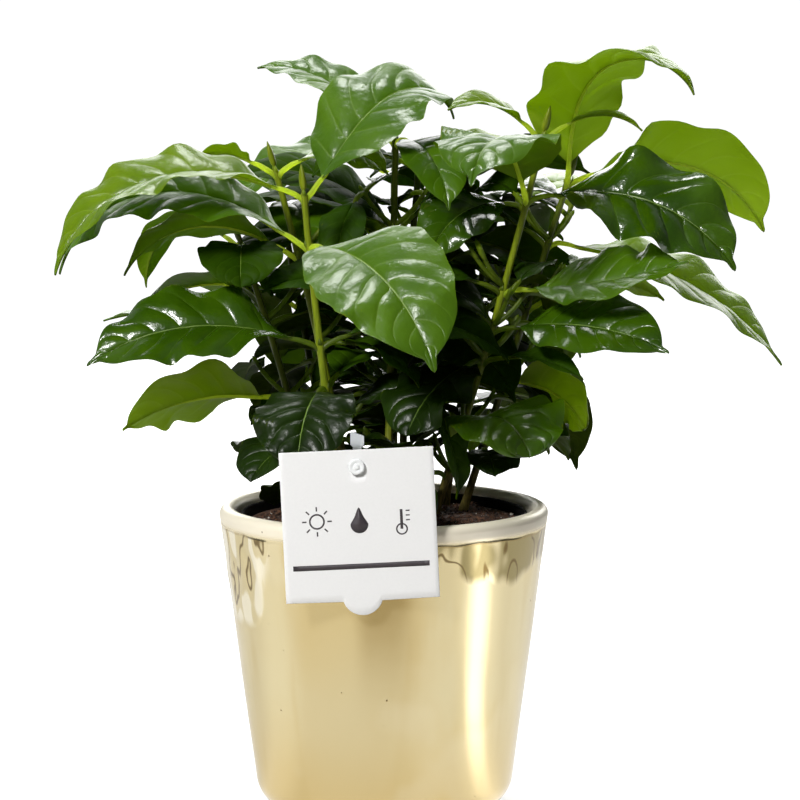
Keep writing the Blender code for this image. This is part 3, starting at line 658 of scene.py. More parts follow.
def bar_patch(start, end, width):
    """A printed bar between two points, with square ends. Its two long edges run in steps along the bow."""
    side = unit(np.array([start[1] - end[1], end[0] - start[0]])) * width / 2
    count = BAR_STEPS + 1
    line = start + (end - start) * np.linspace(0, 1, count)[:, None]
    first = count * np.arange(4)[None]
    faces = [grid_faces(4, count, ring_rows=True, turned=True), first, first[:, ::-1] + BAR_STEPS]
    return printed_band(line - side, line + side), faces


def drop_patch(centre, size):
    """A water drop: a thin slab of ink, a circle whose upper half is slimmer and drawn up to a point."""
    turn = turns(SIGN_STEPS)
    upper = held(np.sin(turn))
    peak = upper**6
    across = np.cos(turn) * (1 - 0.35 * upper)
    rim = centre + size * np.stack([across, np.sin(turn) * (1 + 0.15 * peak) + 0.75 * peak], -1)
    rings, hearts = [printed_rows([(row, INK_LIFT), (row, -INK_LIFT)]) for row in (rim, centre[None])]
    return tube(rings, hearts[:, 0], turned=True)


def gather(parts):
    """Joins (points, faces) parts into one set of points and one list of faces."""
    starts = np.cumsum([0] + [len(points) for points, _ in parts])
    faces = [f + start for (_, part), start in zip(parts, starts) for f in part]
    return np.vstack([points for points, _ in parts]), faces


# The print: a rule, a sun with its rays, a drop, and a thermometer with its bulb, tube and ticks.
rule_left = np.array([-0.0275, -0.0166])
sun = np.array([-0.0170, 0.0022])
bulb = np.array([0.0170, -0.0022])
ink_parts = [bar_patch(rule_left, rule_left + (0.0550, 0), RULE_HEIGHT), ring_patch(sun, 0.0032, 0.0025)]
for turn in turns(8):
    way = np.array([math.cos(turn), math.sin(turn)])
    ink_parts.append(bar_patch(sun + way * 0.0042, sun + way * 0.0060, 0.0006))
ink_parts.append(drop_patch(np.array([0.0, 0.0004]), 0.0036))
ink_parts.append(ring_patch(bulb, 0.0024, 0.0018))
ink_parts.append(bar_patch(bulb, bulb + (0, 0.0080), 0.0011))
for height in (0.0036, 0.0055, 0.0074):
    mark = bulb + (0.0018, height)
    ink_parts.append(bar_patch(mark, mark + (0.0016, 0), 0.0005))

INK = plain_finish("printing_ink", (700, 2), (0.030, 0.024, 0.030), (0.052, 0.043, 0.050), 0.45, 0.1)
make_piece("card_print", *gather(ink_parts), [INK], "white_card")


def rounded_column(place, width, depth, low, high, corner):
    """A moulded bar upright at place: rounded-square rings, (|x|/w)^4 + (|y|/d)^4 = 1, drawn in at the ends.

    Its top is a knob of the full width, slanted a little, on a neck that is slimmer by a smooth step.
    """
    turn = turns(STICK_STEPS)
    x = np.sign(np.cos(turn)) * np.abs(np.cos(turn)) ** 0.5
    y = np.sign(np.sin(turn)) * np.abs(np.sin(turn)) ** 0.5
    bend = np.radians(np.linspace(0, 90, 7))
    opening = corner * (1 - np.sin(bend))
    closing = corner * (1 - np.cos(bend))
    neck = np.linspace(low + 0.004, high - 1.5 * corner, 90)
    slim = WAIST * (1 - held((neck - high + KNOB_HEIGHT) / 0.0009) ** 2)
    inward = np.concatenate([opening + WAIST, slim, closing])[:, None]
    levels = np.concatenate([low + closing, neck, high - opening])[:, None]
    slant = 0.0007 * held((levels - high + KNOB_HEIGHT) / KNOB_HEIGHT) * x
    across = place[0] + x * (width / 2 - inward)
    rings = np.stack([across, place[1] + y * (depth / 2 - inward / 3), levels - slant], -1)
    return tube(rings, [(*place, low), (*place, high)])


def level_turning(place, profile, segments):
    """A profile (n, 2) of radius and distance turned about the pin's axis, which points along -Y.

    The radius is uneven by low cosines of the angle, as on a moulded pin.
    """
    turn = turns(segments)
    radius = profile[:, :1] * (0.975 + 0.014 * np.cos(3 * turn + 1) + 0.010 * np.cos(5 * turn + 2))
    away = profile[:, 1:] + 0 * turn
    rings = place + np.stack([radius * np.cos(turn), -away, radius * np.sin(turn)], -1)
    return tube(rings, place - [(0, profile[0, 1], 0), (0, profile[-1, 1], 0)])


pin = on_card(np.array([*pin_place, 0.0]))
stick_back = pin[1] + STICK_SET_BACK
stick_foot = float(soil_height(abs(stick_back))) + GAP
stick_top = pin[2] + STICK_ABOVE_PIN
stick = rounded_column((pin[0], stick_back), STICK_WIDTH, STICK_DEPTH, stick_foot, stick_top, 0.0007)
shaft = level_turning(pin, np.array([(PIN_RADIUS, away) for away in (-STICK_SET_BACK, -0.01, 0.0012)]), 28)
rounding = arc((PIN_HEAD_RADIUS - 0.0005, 0.0015), 0.0005, 0, 90, 6)
dimple = [(0.62, 0.00205), (0.50, 0.00175), (0.42, 0.00175), (0.36, 0.00205), (0.18, 0.0022)]
head = [(0.92, 0.0006), (1.0, 0.0008)]
head, dimple = [[(PIN_HEAD_RADIUS * share, away) for share, away in part] for part in (head, dimple)]
head = np.vstack([head, rounding, dimple])
button = level_turning(pin, head, 48)

clear = Finish("clear_polystyrene")
clear_tone = clear.noise(240, 2)
# Painted light: the knob at the stick's top glows faintly, standing in for light that the leaves' shadow
# keeps off it.
knob_painted_glow = clear.height().step(0.1600, 0.1640)
CLEAR_PLASTIC = clear.finished(
    Base_Color=clear.tint(clear_tone, (0.90, 0.93, 0.95), (0.98, 0.99, 1.0)),
    Roughness=0.10 + clear_tone * 0.20,
    IOR=1.45,
    Transmission_Weight=0.16,
    Emission_Color=clear.tint(knob_painted_glow, BLACK, (0.30, 0.31, 0.32)),
    Emission_Strength=1.0,
)
clear_stick = make_piece("clear_stick", *gather([stick, shaft, button]), [CLEAR_PLASTIC], "clear_plastic")
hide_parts("tag_stick")


# Stems. Each seedling is one unbranched stem: olive-brown bark at its foot, smooth and bright green above,
# a little swollen at each pair of leaves, and ended by a flat bud of two young leaves pressed together.
MM = 0.001
STEM_BASE = 0.1185
STEM_RADIUS = 0.0020
STEM_TOP_RADIUS = 0.0016
STEM_FLARE = 0.0013
STEM_FLARE_HEIGHT = 0.006
BUD_HEIGHT = 0.013
BUD_RADIUS = 0.0017
STEM_AROUND = 20
STEM_SLIMNESS = 0.86
STEM_RINGS = 110
BUD_RINGS = 26


class Seedling(NamedTuple):
    """One stem, in millimetres: foot on the soil, place of the top pair, bow, and heights of its pairs."""

    foot: tuple
    top: tuple
    bow: tuple
    first: float
    pairs: tuple


SEEDLINGS = {
    "front_left": Seedling((-16, -20), (-33, -20, 262), (-1, 0), 320, (138, 160, 182, 200, 241, 262)),
    "right": Seedling((20, 12), (67, 0, 286), (2, 0), 300, (142, 160, 191, 204, 221, 260, 286)),
    "back_right": Seedling((33, 28), (79, 25, 266), (0, 0), 322, (150, 180, 212, 240, 266)),
    "centre": Seedling((1, 8), (5, 22, 284), (0, 0), 250, (148, 178, 208, 246, 284)),
    "centre_back": Seedling((8, 28), (15, 35, 272), (-2, 0), 20, (170, 205, 240, 272)),
    "left": Seedling((-28, 18), (-61, 20, 238), (2, 0), 300, (145, 173, 206, 238)),
    "left_middle": Seedling((-12, 8), (-46, 10, 271), (2, 0), 60, (160, 198, 235, 271)),
    "rear_left": Seedling((-20, 40), (-46, 70, 252), (0, 0), 100, (165, 210, 252)),
    "rear": Seedling((4, 46), (4, 84, 268), (0, 0), 30, (158, 192, 230, 268)),
    "rear_right": Seedling((26, 44), (48, 76, 250), (0, 0), 60, (165, 208, 250)),
}


def stem_point(seedling, height):
    """The stem's centre at a height, both in metres: a straight lean with a slight bow."""
    foot = np.array(seedling.foot) * MM
    top = np.array(seedling.top) * MM
    share = (height - STEM_BASE) / (top[2] - STEM_BASE)
    place = foot + (top[:2] - foot) * share + np.array(seedling.bow) * MM * 4 * share * (1 - share)
    return np.array([place[0], place[1], height])


def stem_radius(seedling, height):
    """Flared at the foot and thinning towards the top pair, then the bud's neck, swell and point."""
    top = seedling.top[2] * MM
    above = height - STEM_BASE
    share = above / (top - STEM_BASE)
    if share <= 1:
        taper = STEM_RADIUS + (STEM_TOP_RADIUS - STEM_RADIUS) * share
        return taper + STEM_FLARE * math.exp(-above / STEM_FLARE_HEIGHT)
    bud = (height - top) / BUD_HEIGHT
    swell = BUD_RADIUS * math.sin(math.pi * min(1.0, 0.12 + 0.88 * bud)) ** 0.8
    neck = STEM_TOP_RADIUS * max(0.0, 1 - 4 * bud)
    return max(neck, swell)


def stem_surface(seedling, phase):
    """One stem as rings up its lean, closed by the bud's point.

    The radius is the source's made a little slimmer, with a swell below each pair that falls off as a bell,
    and ridges that are cosines of the angle and fade going up. The bud is flattened by its angle to the top
    pair and grooved where its two young leaves meet, on a neck that a bell narrows.
    """
    low = max(float(soil_height(math.hypot(*seedling.foot) * MM)), SOIL_TOP) + GAP - 0.0012
    top = seedling.top[2] * MM
    bud_heights = top + BUD_HEIGHT * np.linspace(0.03, 0.985, BUD_RINGS)
    heights = np.concatenate([np.linspace(low, top, STEM_RINGS), bud_heights])
    centres = np.array([stem_point(seedling, z) for z in heights])
    radii = STEM_SLIMNESS * np.array([stem_radius(seedling, max(z, SOIL_TOP)) for z in heights])
    for pair in seedling.pairs:
        radii = radii + 0.00030 * np.exp(-(((heights - pair * MM + 0.0008) / 0.0030) ** 2))
    turn = turns(STEM_AROUND)[None]
    rise = heights[:, None]
    woody = held((0.175 - rise) / 0.05)
    ridges = 1 + (0.015 + 0.05 * woody) * np.cos(5 * turn + 40 * rise + phase)
    ridges = ridges + 0.03 * woody * np.cos(9 * turn - 90 * rise) * np.cos(310 * rise + phase)
    facing = turn - math.radians(seedling.first + 90 * len(seedling.pairs))
    bud = held((rise - top) / (0.15 * BUD_HEIGHT))
    shape = 1 + bud * (0.16 * np.cos(2 * facing) - 0.22 * np.exp(-((np.sin(facing) / 0.16) ** 2)))
    shape = shape - 0.5 * bud * np.exp(-(((rise - top) / BUD_HEIGHT - 0.13) / 0.09) ** 2)
    rings = centres[:, None] + rings_at(radii[:, None] * ridges * shape, 0.0, turn)
    return tube(rings, [centres[0], stem_point(seedling, top + BUD_HEIGHT)])


bark = Finish("young_stem")
streaks = bark.noise(900, 4, 0.6, bark.place(0.12))
patches = bark.noise(55, 3)
woody = 1 - (bark.height() + patches * 0.04).step(0.148, 0.200)
green_skin = bark.tint(streaks.step(0.3, 0.75), (0.115, 0.155, 0.004), (0.20, 0.25, 0.009))
# Painted shade: stems that stand further back are a darker green, standing in for the crown's shade on them.
back_shade = bark.split(bark.place())[1].step(0.004, 0.024) * 0.75
green_skin = bark.tint(back_shade, green_skin, (0.045, 0.066, 0.003))
brown_skin = bark.tint(streaks.step(0.35, 0.7), (0.078, 0.062, 0.012), (0.21, 0.165, 0.036))
STEM_SKIN = bark.finished(
    Base_Color=bark.tint(woody, green_skin, brown_skin),
    Roughness=0.36 + woody * 0.35,
    Specular_IOR_Level=0.22,
    Normal=bark.bump(streaks * (0.35 + woody), 0.5, 0.0005),
)
stem_parts = [stem_surface(seedling, 1.7 * n) for n, seedling in enumerate(SEEDLINGS.values())]
stems = make_piece("stems", *gather(stem_parts), [STEM_SKIN], "green_bark")
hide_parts(*["stem_" + name for name in SEEDLINGS])


# Leaf arrangement. Leaves stand in opposite pairs, each pair a quarter turn from the one below, small and
# round at the foot and long above. Each one keeps clear of its neighbours, the stems, the card and the pot.
COLLAR_TUBE = 0.0009
PETIOLE_LENGTH = 0.009
PETIOLE_RADIUS = 0.0011
STEEPEST_PETIOLE = 40
OUT_OF_COLLAR = 0.0024
LEAF_CLEARANCE = 0.0006
DRIP_SHARE = 0.12
MIDRIB_STEPS = 60
POT_ROOM_SIDES = 24
RIM_INSIDE = 0.0625
SOIL_ROOM = 0.0615
SEED = 3


class Leaf(NamedTuple):
    """One leaf: where it points and how it hangs, in degrees, and its size in millimetres."""

    heading: float
    rise: float
    length: float
    width: float
    droop: float
    swing: float = 0
    roll: float = 0
    fold: float = 12
    hook: float = 1.3

    @property
    def start(self):
        """The share of the leaf's length that is its stalk."""
        return PETIOLE_LENGTH / (self.length * MM)

    @property
    def roundness(self):
        """0 for a long leaf and 1 for a seedling's round one."""
        return held((self.width / self.length - 0.55) * 4)


# Leaves that stand out from the rule: seedling, then the pair's number from the foot, then its two leaves.
CHOSEN = {
    ("front_left", 6): (
        Leaf(187, 24, 120, 38, 97, roll=-20, fold=14),
        Leaf(35, 52, 98, 49, 128, roll=22, fold=6, hook=3.0),
    ),
    ("front_left", 5): (
        Leaf(297, 4, 106, 54, 72, swing=18, roll=28, fold=6),
        Leaf(172, 37, 125, 40, 112, roll=-32, fold=8, hook=1.5),
    ),
    ("front_left", 4): (Leaf(186, 19, 98, 44, 55, roll=-38, fold=8), Leaf(8, 26, 84, 36, 75, roll=25)),
    ("front_left", 3): (Leaf(257, 4, 54, 42, 74, fold=4), Leaf(62, 20, 62, 30, 60)),
    ("right", 7): (Leaf(195, 50, 44, 20, 78, roll=-18, fold=14), Leaf(353, 40, 43, 10, 84, fold=24)),
    ("right", 6): (Leaf(340, 12, 98, 48, 70, roll=42, fold=8), Leaf(250, 57, 88, 50, 118, fold=2)),
    ("right", 5): (Leaf(332, 4, 83, 37, -14, roll=34), Leaf(196, 26, 72, 30, 70, roll=-30, fold=10)),
    ("right", 4): (Leaf(326, 11, 84, 39, 34, roll=34, fold=8), Leaf(150, 20, 60, 26, 50)),
    ("right", 3): (Leaf(307, 12, 52, 14, 40, roll=20, fold=20), Leaf(228, -10, 56, 44, 50, fold=6)),
    ("right", 2): (Leaf(300, 34, 58, 50, 92, roll=12, fold=5), Leaf(100, 20, 40, 30, 40)),
    ("right", 1): (Leaf(35, 22, 38, 28, 50, fold=5), Leaf(196, 8, 36, 27, 44, roll=-20, fold=5)),
    ("back_right", 5): (
        Leaf(267, 77, 107, 51, 142, swing=88, fold=6, hook=1.8),
        Leaf(8, 25, 98, 47, 92, roll=-44, fold=8),
    ),
    ("back_right", 4): (Leaf(12, -9, 121, 40, 44, roll=28, fold=8), Leaf(165, 40, 70, 32, 80)),
    ("back_right", 3): (Leaf(350, 34, 60, 30, 70, roll=-30, fold=8), Leaf(178, 24, 66, 30, 70, roll=-24)),
    ("back_right", 2): (Leaf(322, 2, 46, 42, 60, roll=-54, fold=4), Leaf(140, 20, 46, 36, 50)),
    ("back_right", 1): (Leaf(78, 18, 42, 30, 50, fold=5), Leaf(258, 8, 38, 27, 42, fold=5)),
    ("centre", 5): (Leaf(160, 53, 72, 30, 60, roll=-20, fold=8), Leaf(296, 4, 60, 28, 80, roll=10)),
    ("rear", 4): (Leaf(30, 22, 84, 36, 88, roll=14), Leaf(196, 24, 84, 36, 88, roll=-14)),
    ("centre_back", 4): (Leaf(20, 34, 54, 24, 74, roll=20), Leaf(205, 30, 50, 22, 80, roll=-20)),
    ("left_middle", 2): (Leaf(148, 22, 84, 36, 84, roll=-20), Leaf(330, 8, 52, 26, 64)),
    ("left_middle", 4): (
        Leaf(197, 32, 33, 16, 44, roll=26, fold=10),
        Leaf(343, 40, 52, 24, 84, roll=30, fold=8),
    ),
    ("left", 4): (Leaf(140, 36, 75, 20, 130, roll=20, fold=14), Leaf(272, 14, 44, 36, 80, fold=6)),
    ("left", 3): (Leaf(184, 14, 68, 26, 30, fold=6), Leaf(4, 22, 72, 32, 80, roll=16)),
    ("left", 2): (Leaf(197, 10, 73, 45, 44, roll=40, fold=8), Leaf(20, 24, 60, 34, 60, roll=20)),
}


def blade_profile(u, roundness):
    """Half width of the blade over its greatest half width, at share u of the blade's length.

    A long leaf is an ellipse that narrows to a drip tip; roundness 1 gives the seedling's plain round leaf.
    """
    body_end = 1 - DRIP_SHARE * (1 - roundness)
    x = held(u / body_end)
    power = 0.84 - 0.3 * roundness
    body = (2 * np.sqrt(held(x * (1 - x)))) ** (2 * power)
    drip = 0.12 * (1 - u) / DRIP_SHARE * (1 - roundness)
    return np.maximum(body, np.minimum(drip, 0.12 * (1 - roundness)))


def leaf_direction(leaf, shares):
    """Unit vectors along the midrib and level across it, at these shares of the leaf's length."""
    pitch = leaf.rise - leaf.droop * shares**leaf.hook
    pitch = np.radians(np.minimum(pitch, STEEPEST_PETIOLE + 40 * shares / leaf.start))
    heading = np.radians(leaf.heading + leaf.swing * shares)
    onward = np.stack([np.cos(pitch) * np.cos(heading), np.cos(pitch) * np.sin(heading), np.sin(pitch)], -1)
    return onward, np.stack([-np.sin(heading), np.cos(heading), 0 * heading], -1)


def leaf_frames(root, leaf, shares):
    """Points on the midrib at these shares of its length, with the side and upward vectors there.

    The pitch falls from leaf.rise by leaf.droop, late on the leaf where leaf.hook is high, and the heading
    turns by leaf.swing.
    """
    marks = np.linspace(0, 1, MIDRIB_STEPS + 1)
    onward, _ = leaf_direction(leaf, (marks[1:] + marks[:-1]) / 2)
    path = np.vstack([np.zeros(3), np.cumsum(onward * leaf.length * MM / MIDRIB_STEPS, axis=0)]) + root
    points = np.stack([np.interp(shares, marks, path[:, i]) for i in range(3)], -1)
    tangent, side = leaf_direction(leaf, shares)
    up = np.cross(tangent, side)
    roll = np.radians(leaf.roll) * held((shares - leaf.start) / 0.25)[:, None]
    return points, side * np.cos(roll) + up * np.sin(roll), up * np.cos(roll) - side * np.sin(roll)


def loft_faces(rings, sides):
    """Faces of a coarse loft: a flat first ring, four-sided walls, and a last ring closed on one point."""
    walls = grid_faces(rings, sides, ring_columns=True).tolist()
    end = fan_faces(rings * sides, np.arange(sides) + (rings - 1) * sides).tolist()
    return [tuple(reversed(range(sides)))] + walls + end


def leaf_room(root, leaf, grow):
    """The source's coarse leaf, a loft of four-sided rings, grown by the space that it keeps round it."""
    blade = np.array([0.0, 0.1, 0.28, 0.48, 0.68, 0.84, 0.93])
    on_stalk = [0.0, OUT_OF_COLLAR / (leaf.length * MM)]
    shares = np.concatenate([on_stalk, leaf.start + (1 - leaf.start) * blade, [1.0]])
    half = leaf.width / 2 * MM * blade_profile(blade, leaf.roundness)
    half = np.concatenate([[PETIOLE_RADIUS] * 2, np.maximum(half, PETIOLE_RADIUS)]) + grow
    thick = 0.006 * leaf.length * MM
    thickness = np.array([PETIOLE_RADIUS] * 3 + [thick] * 4 + [thick * 0.8, thick * 0.5]) + grow
    points, side, up = leaf_frames(root, leaf, shares)
    lift = np.radians(leaf.fold) * np.concatenate([[0, 0, 0], np.ones(len(blade) - 1)])
    sideways = (half * np.cos(lift))[:, None] * side[:-1]
    raised = (half * np.sin(lift))[:, None] * up[:-1]
    over = thickness[:, None] * up[:-1]
    rings = points[:-1, None] + np.stack([sideways + raised, over, raised - sideways, -over], 1)
    return np.vstack([rings.reshape(-1, 3), points[-1] + grow * unit(points[-1] - points[-2])])


def tree_of(points, faces):
    return BVHTree.FromPolygons([tuple(map(float, p)) for p in points], faces)


def collar_frame(seedling, height):
    """Centre of a pair's collar, the stem's direction there and the radius of the collar's centre line."""
    centre = stem_point(seedling, height)
    ahead = stem_point(seedling, height + 0.002) - stem_point(seedling, height - 0.002)
    radius = stem_radius(seedling, height) + GAP + COLLAR_TUBE
    return centre, unit(ahead), radius


def leaf_root(seedling, height, heading):
    """Where a petiole starts: inside the collar's tube, on the side that the leaf grows to."""
    centre, _, radius = collar_frame(seedling, height)
    angle = math.radians(heading)
    return centre + radius * np.array([math.cos(angle), math.sin(angle), 0])


def leaf_by_rule(height_share, heading, dice):
    """The leaf that a pair has by its height on the stem: small and round low down, and long above."""
    if height_share < 0.3:
        length = dice.uniform(40, 50)
        rise = dice.uniform(5, 30)
        return Leaf(heading, rise, length, length * dice.uniform(0.66, 0.8), dice.uniform(40, 65))
    length = 70 + 34 * math.sin(math.pi * min(1, height_share * 0.95)) + dice.uniform(-8, 8)
    width = length * dice.uniform(0.38, 0.45)
    rise = 8 + 34 * height_share + dice.uniform(-8, 8)
    droop = dice.uniform(70, 100)
    return Leaf(heading, rise, length, width, droop, 0, dice.uniform(-32, 32), dice.uniform(4, 12))


def variations(leaf, chosen):
    """The leaf itself, then ever larger changes of its rise, heading and size to look for free space."""
    yield leaf
    reach = 3 if chosen else 7
    for size in (1.0, 0.9, 0.8, 0.68):
        for step in range(1, reach + 1):
            for turn, lift in ((0, 5), (0, -5), (6, 0), (-6, 0), (5, 4), (-5, 4), (5, -4), (-5, -4)):
                yield leaf._replace(
                    heading=leaf.heading + turn * step,
                    rise=leaf.rise + lift * step,
                    length=leaf.length * size,
                    width=leaf.width * size,
                )


def obstacles():
    """What no leaf may touch: the outer pot with its rim, the soil, the card and the stick."""
    wide = POT_RIM_RADIUS + 0.0012
    over_rim = POT_HEIGHT + 0.001
    sizes = [(0.9 * wide, 0.01), (wide, over_rim), (RIM_INSIDE, over_rim), (SOIL_ROOM, STEM_BASE + 0.002)]
    rings = [level_ring(radius, POT_ROOM_SIDES, height) for radius, height in sizes]
    walls = grid_faces(4, POT_ROOM_SIDES, ring_columns=True).tolist()
    soil = tuple(range(3 * POT_ROOM_SIDES, 4 * POT_ROOM_SIDES))
    pot_room = tree_of(np.vstack(rings), walls + [soil])
    corner = np.array([(x, y, z) for z in (-1, 1) for y in (-1, 1) for x in (-1, 1)], float)
    box = [(0, 1, 3, 2), (4, 6, 7, 5), (0, 4, 5, 1), (2, 3, 7, 6), (0, 2, 6, 4), (1, 5, 7, 3)]
    half = CARD_HEIGHT / 2 + 0.002
    card_room = tree_of(np.array(CARD_CENTRE) + corner * (half, 0.0045, half) - (0, 0.001, 0), box)
    stick_centre = np.array([pin[0], pin[1] + STICK_SET_BACK, pin[2] - 0.014])
    return [pot_room, card_room, tree_of(stick_centre + corner * (0.004, 0.003, 0.029), box)]


def stem_space(seedling):
    """The stem and a little round it, which leaves keep clear of."""
    heights = np.linspace(STEM_BASE, seedling.top[2] * MM + BUD_HEIGHT, 9)
    rings = []
    for height in heights:
        radius = max(stem_radius(seedling, min(height, seedling.top[2] * MM)), STEM_TOP_RADIUS) + 0.0007
        rings.append(stem_point(seedling, height) + level_ring(radius, 6, 0))
    rings.append(stem_point(seedling, heights[-1] + 0.001)[None])
    return tree_of(np.vstack(rings), loft_faces(len(heights), 6))


def collar_space(seedling, height):
    """The collar of one pair and a little round it."""
    centre, _, radius = collar_frame(seedling, height)
    wide = radius + COLLAR_TUBE + LEAF_CLEARANCE
    rings = np.vstack([level_ring(wide, 6, -0.0018), level_ring(wide, 6, 0.0018), (0, 0, 0.003)])
    return tree_of(centre + rings, loft_faces(2, 6))


def leaf_space(root, leaf, rings):
    """The leaf's keep-clear room without its first rings, which stand in or at its own collar."""
    points = leaf_room(root, leaf, LEAF_CLEARANCE)
    return tree_of(points[4 * rings :], loft_faces(len(points) // 4 - rings, 4))


def arrange_leaves():
    """Every leaf with its root, by seedling and pair: the chosen ones first, then the rest by the rule.

    A leaf that would touch what stands already takes the first variation that is free, or is left out. Also
    gives all that stands, each with its owner.
    """
    dice = random.Random(SEED)
    standing = [((), tree) for tree in obstacles()]
    standing += [((name, 0), stem_space(seedling)) for name, seedling in SEEDLINGS.items()]
    wanted = []
    for name, seedling in SEEDLINGS.items():
        for number, height in enumerate(seedling.pairs, start=1):
            standing.append(((name, number), collar_space(seedling, height * MM)))
            share = (height * MM - STEM_BASE) / (seedling.top[2] * MM - STEM_BASE)
            heading = seedling.first + 90 * (number - 1) + dice.uniform(-12, 12)
            ruled = (leaf_by_rule(share, heading, dice), leaf_by_rule(share, heading + 180, dice))
            chosen = CHOSEN.get((name, number))
            for order, leaf in enumerate(chosen or ruled):
                wanted.append((chosen is None, name, number, order, leaf))
    wanted.sort(key=lambda item: item[0])
    placed = {}
    for ruled, name, number, order, leaf in wanted:
        seedling = SEEDLINGS[name]
        height = seedling.pairs[number - 1] * MM
        for tried in variations(leaf, not ruled):
            root = leaf_root(seedling, height, tried.heading)
            whole = leaf_space(root, tried, 1)
            blade = leaf_space(root, tried, 2)
            own = ((name, 0), (name, number))
            if not any((blade if owner in own else whole).overlap(other) for owner, other in standing):
                standing.append(((name, number, tried.heading), whole))
                placed.setdefault((name, number), []).append((root, tried, order))
                break
    return placed, standing


LEAVES, STANDING = arrange_leaves()


# Side shoots. Short green twigs grow from the leaf axils inside the crown. Each ends in a small bud between
# two smaller leaves, and together they make the crown's heart dense and dark, most of their leaves in the
# painted shade tones. The outer crown stays open.
SHOOT_LENGTHS = (20, 13, 9)
SHOOT_TURNS = (0, 30, -30, 60, -60)
SHOOT_RISE = 34
SHOOT_LIFT = 24
SHOOT_RADIUS = 0.0009
SHOOT_CLEARANCE = 0.0003
SHOOT_SEED = 11
HEART_CENTRE = (18, 46, 202)
HEART_REACH = (92, 60, 84)
SHOOTS_IN_AXIL = {"right": 2, "back_right": 2}
STALK_SIDES = 10


class Shoot(NamedTuple):
    """A side twig: the stem that it grows on, its path out of the axil, and its leaves with their roots."""

    stem: str
    path: np.ndarray
    leaves: list


def in_heart(points):
    """Whether all points lie in the crown's heart, an ellipsoid, and over the pot's rim."""
    off = (points / MM - HEART_CENTRE) / HEART_REACH
    return bool((off**2).sum(1).max() < 1 and points[:, 2].min() > POT_HEIGHT + 0.003)


def twig_path(seedling, height, heading, length):
    """Nine points from the stem's axis out of the axil, with a pitch that rises as the twig goes on."""
    pitch = np.radians(SHOOT_RISE + SHOOT_LIFT * np.linspace(0, 1, 8))
    turn = math.radians(heading)
    onward = np.stack([np.cos(pitch) * math.cos(turn), np.cos(pitch) * math.sin(turn), np.sin(pitch)], -1)
    start = stem_point(seedling, height + 0.0015)
    return start + np.vstack([np.zeros(3), np.cumsum(onward * length * MM / 8, axis=0)])


def tube_frames(path):
    """Side and upward unit vectors along a path that isn't upright: Z x tangent, and tangent x side."""
    tangent = unit(np.gradient(path, axis=0))
    side = unit(np.cross([0, 0, 1.0], tangent))
    return side, np.cross(tangent, side)


def twig_space(path):
    """A six-sided sleeve round the twig's outer part, which leaves keep clear of."""
    side, up = tube_frames(path)
    turn = math.tau * np.arange(6)[None, :, None] / 6
    out = side[:, None] * np.cos(turn) + up[:, None] * np.sin(turn)
    outer = (path[:, None] + (SHOOT_RADIUS + SHOOT_CLEARANCE) * out)[3:]
    tip = path[-1] + path[-1] - path[-2]
    return tree_of(np.vstack([outer.reshape(-1, 3), tip]), loft_faces(len(outer), 6))


def free(space, standing, own):
    return not any(owner not in own and space.overlap(other) for owner, other in standing)


def shoot_leaf(path, heading, dice, standing, key):
    """A small leaf at a twig's end: the first variation that is free and in the crown's heart, or None."""
    length = dice.uniform(42, 80)
    rise = dice.uniform(-5, 28)
    wish = Leaf(heading, rise, length, length * dice.uniform(0.42, 0.52), dice.uniform(50, 90))
    wish = wish._replace(roll=dice.uniform(-35, 35), fold=dice.uniform(4, 12))
    for tried in variations(wish, False):
        turn = math.radians(tried.heading)
        root = path[-1] + SHOOT_RADIUS * np.array([math.cos(turn), math.sin(turn), 0])
        room = leaf_room(root, tried, SHOOT_CLEARANCE)
        if in_heart(room):
            space = tree_of(room[4:], loft_faces(len(room) // 4 - 1, 4))
            if free(space, standing, (key,)):
                standing.append(((*key, "leaf"), space))
                return root, tried
    return None


def grow_side_shoots(standing):
    """Side shoots in the axils under the top pair, where they and their leaves find room."""
    dice = random.Random(SHOOT_SEED)
    shoots = []
    axils = [(name, number, leaf) for (name, number), leaves in LEAVES.items() for _, leaf, _ in leaves]
    for name, number, axil in axils:
        seedling = SEEDLINGS[name]
        height = seedling.pairs[number - 1] * MM
        if number == len(seedling.pairs):
            continue
        wanted = len(shoots) + SHOOTS_IN_AXIL.get(name, 1)
        for length, aside in [(length, aside) for length in SHOOT_LENGTHS for aside in SHOOT_TURNS]:
            path = twig_path(seedling, height, axil.heading + aside, length)
            space = twig_space(path)
            if in_heart(path) and free(space, standing, ((name, 0), (name, number))):
                key = ("twig", len(shoots))
                ways = (axil.heading + aside + 80, axil.heading + aside - 80)
                found = [shoot_leaf(path, way + dice.uniform(-20, 20), dice, standing, key) for way in ways]
                if any(found):
                    standing.append((key, space))
                    shoots.append(Shoot(name, path, [leaf for leaf in found if leaf]))
            if len(shoots) == wanted:
                break
    return shoots


def sweep(path, side, up, wide, tall):
    """An oval tube along a path, closed at both ends: ring point = path + side wide cos a + up tall sin a."""
    turn = turns(STALK_SIDES)[None, :, None]
    rings = path[:, None] + side[:, None] * wide[:, None, None] * np.cos(turn)
    rings = rings + up[:, None] * tall[:, None, None] * np.sin(turn)
    return tube(rings, path[[0, -1]])


def twig_surface(path):
    """A twig that thins a little along its path, then swells into its end's bud and closes on a point."""
    onward = unit(path[-1] - path[-2])
    whole = np.vstack([path, path[-1] + onward * np.array([0.8, 1.7, 2.6, 3.3, 3.7])[:, None] * MM])
    radius = np.concatenate([np.linspace(1.15, 0.9, 9), [0.75, 0.95, 0.8, 0.4, 0.1]]) * MM
    return sweep(whole, *tube_frames(whole), radius, radius)


SHOOTS = grow_side_shoots(STANDING)

stalk_skin = Finish("green_twig")
stalk_tone = stalk_skin.noise(210, 3)
mottled = stalk_tone.step(0.35, 0.7)
